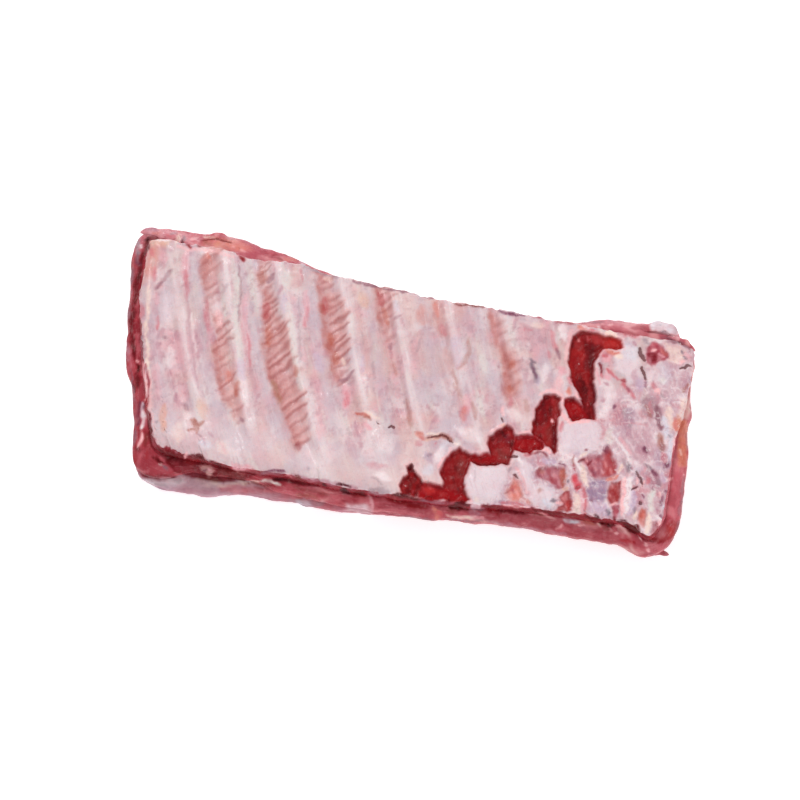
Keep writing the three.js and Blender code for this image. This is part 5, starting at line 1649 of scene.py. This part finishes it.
def layer(rim, controls, row_count, lump_size):
    """The points, faces, caps and grain of a layer with flat hidden faces and an uneven side."""
    points, quads, last = [], [], None
    count = len(rim.points)
    lump = LUMP_SIZE * wave(2.3 * rim.points[:, 0], 2.3 * rim.points[:, 1])
    places = []
    for number, (push, height) in enumerate(rows_between(controls, row_count)):
        share = number / (row_count - 1)
        ends = smooth(0, 0.1, share) * smooth(0, 0.1, 1 - share)
        rough = side_lumps(rim, height, lump_size) * ends
        sag = 0.5 * ends * cloud(rim.run, height, 9, 191, 2)
        points.append(np.column_stack([rim.pushed(push + lump + rough), height + sag]))
        places.append(np.column_stack([0.12 * rim.run, height, np.full(count, 3 * share)]))
        current = np.arange(number * count, (number + 1) * count)
        if last is not None:
            quads.append(ring_faces(last, current, count))
        last = current
    points = np.vstack(points)
    points[:, 2] = np.maximum(points[:, 2], 0)
    return points, np.vstack(quads), [np.arange(count), last[::-1]], np.vstack(places), lump


def shreds(lines, first):
    """Closed flat strips along lines, thin at both ends; first is the index of their first point."""
    points, quads, caps, places = [], [], [], []
    turn = 2 * math.pi * np.arange(SHRED_AROUND) / SHRED_AROUND
    share = np.linspace(0, 1, SHRED_ALONG)
    for number, (half_width, half_thickness, line) in enumerate(lines):
        path = spline(line, share)
        ahead = np.gradient(path, axis=0)
        sideways = np.column_stack([-ahead[:, 1], ahead[:, 0]])
        sideways /= np.hypot(*sideways.T)[:, None]
        uneven = 1 + 0.3 * cloud(20 * share, 9 * number + 0 * share, 3, 241)
        swell = uneven * np.sqrt(np.clip(4 * share * (1 - share), 0.02, 1))
        wide = (half_width * swell)[:, None] * np.cos(turn)
        high = (half_thickness * swell)[:, None] * np.sin(turn)
        x = path[:, :1] + sideways[:, :1] * wide
        y = path[:, 1:2] + sideways[:, 1:] * wide
        z = path[:, 2:] + high + 0.4 * cloud(x, y, 4, 243, 2)
        start = first + number * SHRED_AROUND * SHRED_ALONG
        index = start + np.arange(SHRED_AROUND * SHRED_ALONG).reshape(SHRED_ALONG, SHRED_AROUND)
        quads.extend(ring_faces(*pair, SHRED_AROUND)[:, ::-1] for pair in zip(index, index[1:]))
        caps.extend([index[0][::-1], index[-1]])
        points.append(np.column_stack([x.ravel(), y.ravel(), z.ravel()]))
        places.append(np.column_stack([0.3 * x.ravel(), z.ravel(), y.ravel()]))
    return np.vstack(points), np.vstack(quads), caps, np.vstack(places)


def with_shreds(lines, points, quads, caps, places):
    more_points, more_quads, more_caps, more_places = shreds(lines, len(points))
    return (np.vstack([points, more_points]), np.vstack([quads, more_quads]), caps + more_caps,
            np.vstack([places, more_places]))


def lean_meat():
    rim = Rim(*LEAN_STEPS)
    x = rim.points[:, 0]
    under = fat_seam(x) + SEAM_GAP
    level = np.ones(len(x))
    controls = [
        (0.28 * rim.lean - 6, level * (PLATE_SEAM - 0.1)),
        (0.28 * rim.lean - 0.3, level * (PLATE_SEAM - 0.1)),
        (0.62 * rim.lean, level * (PLATE_SEAM - 1.6)),
        (rim.lean, level * (LEAN_BELLY + 1.5)),
        (rim.lean - 0.3, 0.5 * (LEAN_BELLY + under) + 0.5),
        (rim.lean - 2, under),
    ]
    points, quads, caps, places, lump = layer(rim, controls, LEAN_ROWS, 0.5)
    shift = frame_shift("lean_meat", rim.pushed(rim.lean + lump))
    points, quads, caps, places = with_shreds(LEAN_SHREDS, points, quads, caps, places)
    attributes = {"paint": lean_paint(points, places).linear(), "grain": places}
    piece = make_mesh("lean_meat_dressed", points + shift, quads, caps, attributes)
    piece.data.materials.append(flesh_material("lean", 0.25, 0.4))
    return piece


def lean_paint(points, places):
    """Dark red meat, filmed over at the back and mauve towards the front right."""
    x, y, z = points.T
    run, height, _ = places.T
    paint = Paint(LEAN_RED, *seen_from_front(x, y, z))
    fibres = cloud(run * 2, height, 1.6, 201, 3)
    paint.lay(LEAN_DARK, 0.75 * smooth(0.0, 0.8, fibres))
    paint.lay(LEAN_MAUVE, 0.7 * smooth(0.1, 0.9, -fibres))
    film = 0.8 * smooth(54, 66, y)
    film = np.maximum(film, 0.5 * smooth(-40, 20, x) * smooth(-40, -56, y))
    film = np.maximum(film, 0.45 * smooth(150, 162, x))
    paint.lay(LEAN_MAUVE, film)
    paint.lay(LEAN_FILM, film * smooth(-0.3, 0.7, cloud(run * 3, height, 2.4, 203, 2)))
    marbling = ridges(run * 3, height, 7, 205) * smooth(0.0, 0.6, cloud(x, y, 15, 207))
    paint.lay(TINTS["cream"], 0.5 * marbling)
    paint_side_marks(paint)
    return paint


def fat_cover():
    rim = Rim(*FAT_STEPS)
    x = rim.points[:, 0]
    seam = fat_seam(x)
    controls = [
        (np.minimum(rim.lean - 1.5, rim.fat - 0.4) - 6, seam - 0.1),
        (np.minimum(rim.lean - 1.5, rim.fat - 0.4), seam - 0.1),
        (mix(np.minimum(rim.lean, rim.fat), rim.fat, 0.75), seam * 0.8),
        (rim.fat, seam * FAT_BELLY_SHARE),
        (rim.fat - 2.4, 0 * x),
    ]
    points, quads, caps, places, lump = layer(rim, controls, FAT_ROWS, 0.4)
    shift = frame_shift("fat_cover", rim.pushed(rim.fat + lump))
    points, quads, caps, places = with_shreds(FAT_SHREDS, points, quads, caps, places)
    attributes = {"paint": fat_paint(points, places).linear(), "grain": places}
    piece = make_mesh("fat_cover_dressed", points + shift, quads, caps, attributes)
    piece.data.materials.append(flesh_material("fat", 0.28, 0.42))
    return piece


def fat_paint(points, places):
    """Pale fat, with painted shade in mauve on its lower face, and streaked with meat towards the right."""
    x, y, z = points.T
    run, height, _ = places.T
    paint = Paint(FAT_WHITE, *seen_from_front(x, y, z))
    # Painted shade: mauve on the fat's lower face, which faces away from the light.
    lower = smooth(0.8, 0.35, z / fat_seam(x)) * smooth(0.05, 0.2, z / fat_seam(x) + 0.2)
    paint.lay(FAT_SHADE_MAUVE, lower * smooth(-0.8, 0.4, cloud(run * 2, height, 3, 211, 2)))
    meaty = smooth(-75, -35, x) * smooth(-40, -56, y)
    paint.lay(LEAN_MAUVE, 0.8 * meaty)
    paint.lay(TINTS["lilac"], 0.35 * smooth(0, 0.8, cloud(x, y, 9, 213, 3)))
    paint.lay(TINTS["mauve"], 0.4 * ridges(x, y, 11, 215) * smooth(0.1, 0.6, cloud(x, y, 14, 217)))
    paint_side_marks(paint)
    return paint


# Materials

def linear(colour):
    """A colour from sRGB 0 to 255 as linear RGBA."""
    values = [channel / 255 for channel in colour]
    return tuple(v / 12.92 if v <= 0.04045 else ((v + 0.055) / 1.055) ** 2.4 for v in values) + (1,)


class Look:
    """One node material, built step by step."""

    def __init__(self, name):
        self.material = bpy.data.materials.new(name)
        self.material.use_nodes = True
        self.nodes = self.material.node_tree.nodes
        self.links = self.material.node_tree.links
        self.shader = self.nodes["Principled BSDF"]
        self.where = self.nodes.new("ShaderNodeTexCoord").outputs["Object"]

    def set(self, socket, value):
        if isinstance(value, bpy.types.NodeSocket):
            self.links.new(value, socket)
        else:
            socket.default_value = value

    def attribute(self, name, kind="Fac"):
        node = self.nodes.new("ShaderNodeAttribute")
        node.attribute_name = name
        return node.outputs[kind]

    def noise(self, size_mm, detail=3, roughness=0.55, distortion=0.0, where=None):
        """Noise with lumps of a size in mm, from about 0.25 to 0.75."""
        scale = self.nodes.new("ShaderNodeVectorMath")
        scale.operation = "SCALE"
        self.set(scale.inputs[0], where or self.where)
        scale.inputs["Scale"].default_value = (1 if where else 1 / MM) / size_mm
        node = self.nodes.new("ShaderNodeTexNoise")
        self.set(node.inputs["Vector"], scale.outputs[0])
        node.inputs["Scale"].default_value = 1
        node.inputs["Detail"].default_value = detail
        node.inputs["Roughness"].default_value = roughness
        node.inputs["Distortion"].default_value = distortion
        return node.outputs["Fac"]

    def math(self, operation, a, b=0.0, clamp=False):
        node = self.nodes.new("ShaderNodeMath")
        node.operation = operation
        node.use_clamp = clamp
        self.set(node.inputs[0], a)
        self.set(node.inputs[1], b)
        return node.outputs[0]

    def ramp(self, value, low, high, to_low=0.0, to_high=1.0):
        """Smoothly maps low..high onto to_low..to_high."""
        node = self.nodes.new("ShaderNodeMapRange")
        node.interpolation_type = "SMOOTHSTEP"
        self.set(node.inputs["Value"], value)
        limits = {"From Min": low, "From Max": high, "To Min": to_low, "To Max": to_high}
        for socket, number in limits.items():
            node.inputs[socket].default_value = number
        return node.outputs["Result"]

    def blend(self, share, below, above, kind="MIX"):
        """The colour above over the colour below, by a share."""
        node = self.nodes.new("ShaderNodeMix")
        node.data_type = "RGBA"
        node.blend_type = kind
        self.set(node.inputs["Factor"], share)
        for socket, colour in (("A", below), ("B", above)):
            value = linear(colour) if isinstance(colour, tuple) else colour
            target = next(s for s in node.inputs if s.name == socket and s.type == "RGBA")
            self.set(target, value)
        return next(s for s in node.outputs if s.type == "RGBA")

    def within(self, name, softness, noise, amount):
        """1 inside the drawn places of a distance in mm, with an edge roughened by noise."""
        moved = self.math("ADD", self.attribute(name), self.math("MULTIPLY", noise, amount))
        return self.ramp(moved, softness + amount * 0.5, -softness + amount * 0.5)

    def mottled(self, colour, fine, broad, amount):
        """A colour made a little lighter and darker by two noises."""
        both = self.math("ADD", self.math("MULTIPLY", fine, 0.5), self.math("MULTIPLY", broad, 0.5))
        colour = self.blend(self.ramp(both, 0.5, 0.7, 0, 0.6 * amount), colour, MOTTLE_LIGHT)
        return self.blend(self.ramp(both, 0.5, 0.32, 0, amount), colour, MOTTLE_DARK)

    def finish(self, colour, roughness, height, depth_mm, coat, subsurface):
        """Connects the shader: height is a value whose full swing stands for a depth in mm."""
        self.set(self.shader.inputs["Base Color"], colour)
        self.set(self.shader.inputs["Roughness"], roughness)
        bump = self.nodes.new("ShaderNodeBump")
        bump.inputs["Distance"].default_value = depth_mm * MM
        bump.inputs["Strength"].default_value = 1
        self.set(bump.inputs["Height"], height)
        self.set(self.shader.inputs["Normal"], bump.outputs[0])
        self.shader.inputs["Coat Weight"].default_value = coat
        self.shader.inputs["Coat Roughness"].default_value = 0.1
        self.shader.inputs["Coat IOR"].default_value = 1.4
        self.shader.inputs["IOR"].default_value = 1.4
        self.shader.inputs["Specular IOR Level"].default_value = 0.15
        self.shader.inputs["Subsurface Weight"].default_value = subsurface
        self.shader.inputs["Subsurface Radius"].default_value = (1.0, 0.4, 0.3)
        self.shader.inputs["Subsurface Scale"].default_value = 0.002
        return self.material


def bone_side_material():
    look = Look("bone_side")
    streaks = look.noise(1.3, 4, where=look.attribute("along", "Vector"))
    fine = look.noise(0.9, 3)
    medium = look.noise(2.8, 4, distortion=0.7)
    sponge = look.noise(1.8, 5, roughness=0.65, distortion=0.5)
    colour = look.mottled(look.attribute("paint", "Color"), fine, medium, 0.12)
    film = look.attribute("film")
    pink = look.math("MULTIPLY", look.ramp(streaks, 0.52, 0.72, 0, 0.22), film)
    light = look.math("MULTIPLY", look.ramp(streaks, 0.46, 0.3, 0, 0.22), film)
    colour = look.blend(light, look.blend(pink, colour, MEMBRANE_PINK), MEMBRANE_LIGHT)
    tissue = look.noise(3.6, 4, distortion=1.2)
    beyond = look.math("MULTIPLY", look.attribute("beyond"), film)
    white = look.math("MULTIPLY", look.ramp(tissue, 0.52, 0.68, 0, 0.4), beyond)
    mauve = look.math("MULTIPLY", look.ramp(tissue, 0.46, 0.32, 0, 0.35), beyond)
    colour = look.blend(mauve, look.blend(white, colour, TINTS["white"]), TINTS["mauve"])

    inside_cut = look.within("cut", 0.4, medium, 1.0)
    marrow = look.attribute("paint", "Color")
    marrow = look.blend(look.ramp(sponge, 0.45, 0.3, 0, 0.35), marrow, MARROW_DARK)
    marrow = look.blend(look.ramp(sponge, 0.55, 0.72, 0, 0.5), marrow, MARROW_LIGHT)
    # Painted highlights: pink specks on the peaks of the spongy marrow.
    marrow = look.blend(look.ramp(sponge, 0.67, 0.76, 0, 0.6), marrow, TINTS["pink"])
    colour = look.blend(inside_cut, colour, marrow)
    # Painted shade inside the cracks.
    colour = look.blend(look.math("MULTIPLY", look.within("slit", 0.35, fine, 0.9), 0.8), colour, SLIT_SHADE)

    wet = look.ramp(medium, 0.35, 0.65, 0.24, 0.38)
    height = look.math("ADD", look.math("MULTIPLY", fine, 0.3), look.math("MULTIPLY", streaks, 0.3))
    height = look.math("ADD", height, look.math("MULTIPLY", look.math("MULTIPLY", sponge, inside_cut), 0.7))
    torn_fibre = look.math("MULTIPLY", medium, look.attribute("beyond"))
    height = look.math("ADD", height, torn_fibre)
    return look.finish(colour, wet, height, 0.45, coat=0.07, subsurface=0.15)


def flesh_material(name, smoothest, roughest):
    look = Look(name)
    grain = look.noise(0.7, 4, distortion=0.8, where=look.attribute("grain", "Vector"))
    medium = look.noise(3.5, 4, distortion=0.8)
    colour = look.mottled(look.attribute("paint", "Color"), grain, medium, 0.22)
    wet = look.ramp(medium, 0.35, 0.65, smoothest, roughest)
    return look.finish(colour, wet, grain, 0.5, coat=0.08, subsurface=0.1)


# Stage, light and camera

def floor():
    bpy.ops.mesh.primitive_plane_add(size=FLOOR_SIZE, location=(0, 0, 0))
    plane = bpy.context.object
    plane.name = "floor"
    material = bpy.data.materials.new("floor")
    material.use_nodes = True
    shader = material.node_tree.nodes["Principled BSDF"]
    shader.inputs["Base Color"].default_value = linear(FLOOR_WHITE)
    shader.inputs["Roughness"].default_value = 0.9
    shader.inputs["Specular IOR Level"].default_value = 0.1
    shader.inputs["Emission Color"].default_value = linear(FLOOR_WHITE)
    shader.inputs["Emission Strength"].default_value = FLOOR_GLOW
    plane.data.materials.append(material)


def area_light(name, place, size, power):
    lamp = bpy.data.lights.new(name, "AREA")
    lamp.shape = "SQUARE"
    lamp.size = size
    lamp.energy = power
    holder = bpy.data.objects.new(name, lamp)
    holder.location = place
    holder.rotation_euler = Vector(place).to_track_quat("Z", "Y").to_euler()
    bpy.context.scene.collection.objects.link(holder)


def lights():
    world = bpy.data.worlds.new("studio")
    world.use_nodes = True
    background = world.node_tree.nodes["Background"]
    background.inputs["Color"].default_value = (1, 1, 1, 1)
    background.inputs["Strength"].default_value = WORLD_STRENGTH
    bpy.context.scene.world = world
    for name, lamp in LAMPS.items():
        area_light(name, **lamp)


def camera():
    azimuth = math.radians(CAMERA_AZIMUTH)
    elevation = math.radians(CAMERA_ELEVATION)
    back = Vector((math.sin(azimuth) * math.cos(elevation), -math.cos(azimuth) * math.cos(elevation),
                   math.sin(elevation)))
    data = bpy.data.cameras.new("camera")
    data.lens = CAMERA_LENS
    data.sensor_width = 36
    holder = bpy.data.objects.new("camera", data)
    holder.location = Vector(CAMERA_TARGET) + back * CAMERA_DISTANCE
    holder.rotation_euler = back.to_track_quat("Z", "Y").to_euler()
    bpy.context.scene.collection.objects.link(holder)
    bpy.context.scene.camera = holder


def main():
    camera()
    lights()
    floor()
    for make_piece in (rib_plate, lean_meat, fat_cover):
        node = make_piece.__name__
        piece = make_piece()
        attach(piece, "root")
        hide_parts(node)
    bpy.context.scene.view_settings.view_transform = "Standard"


main()
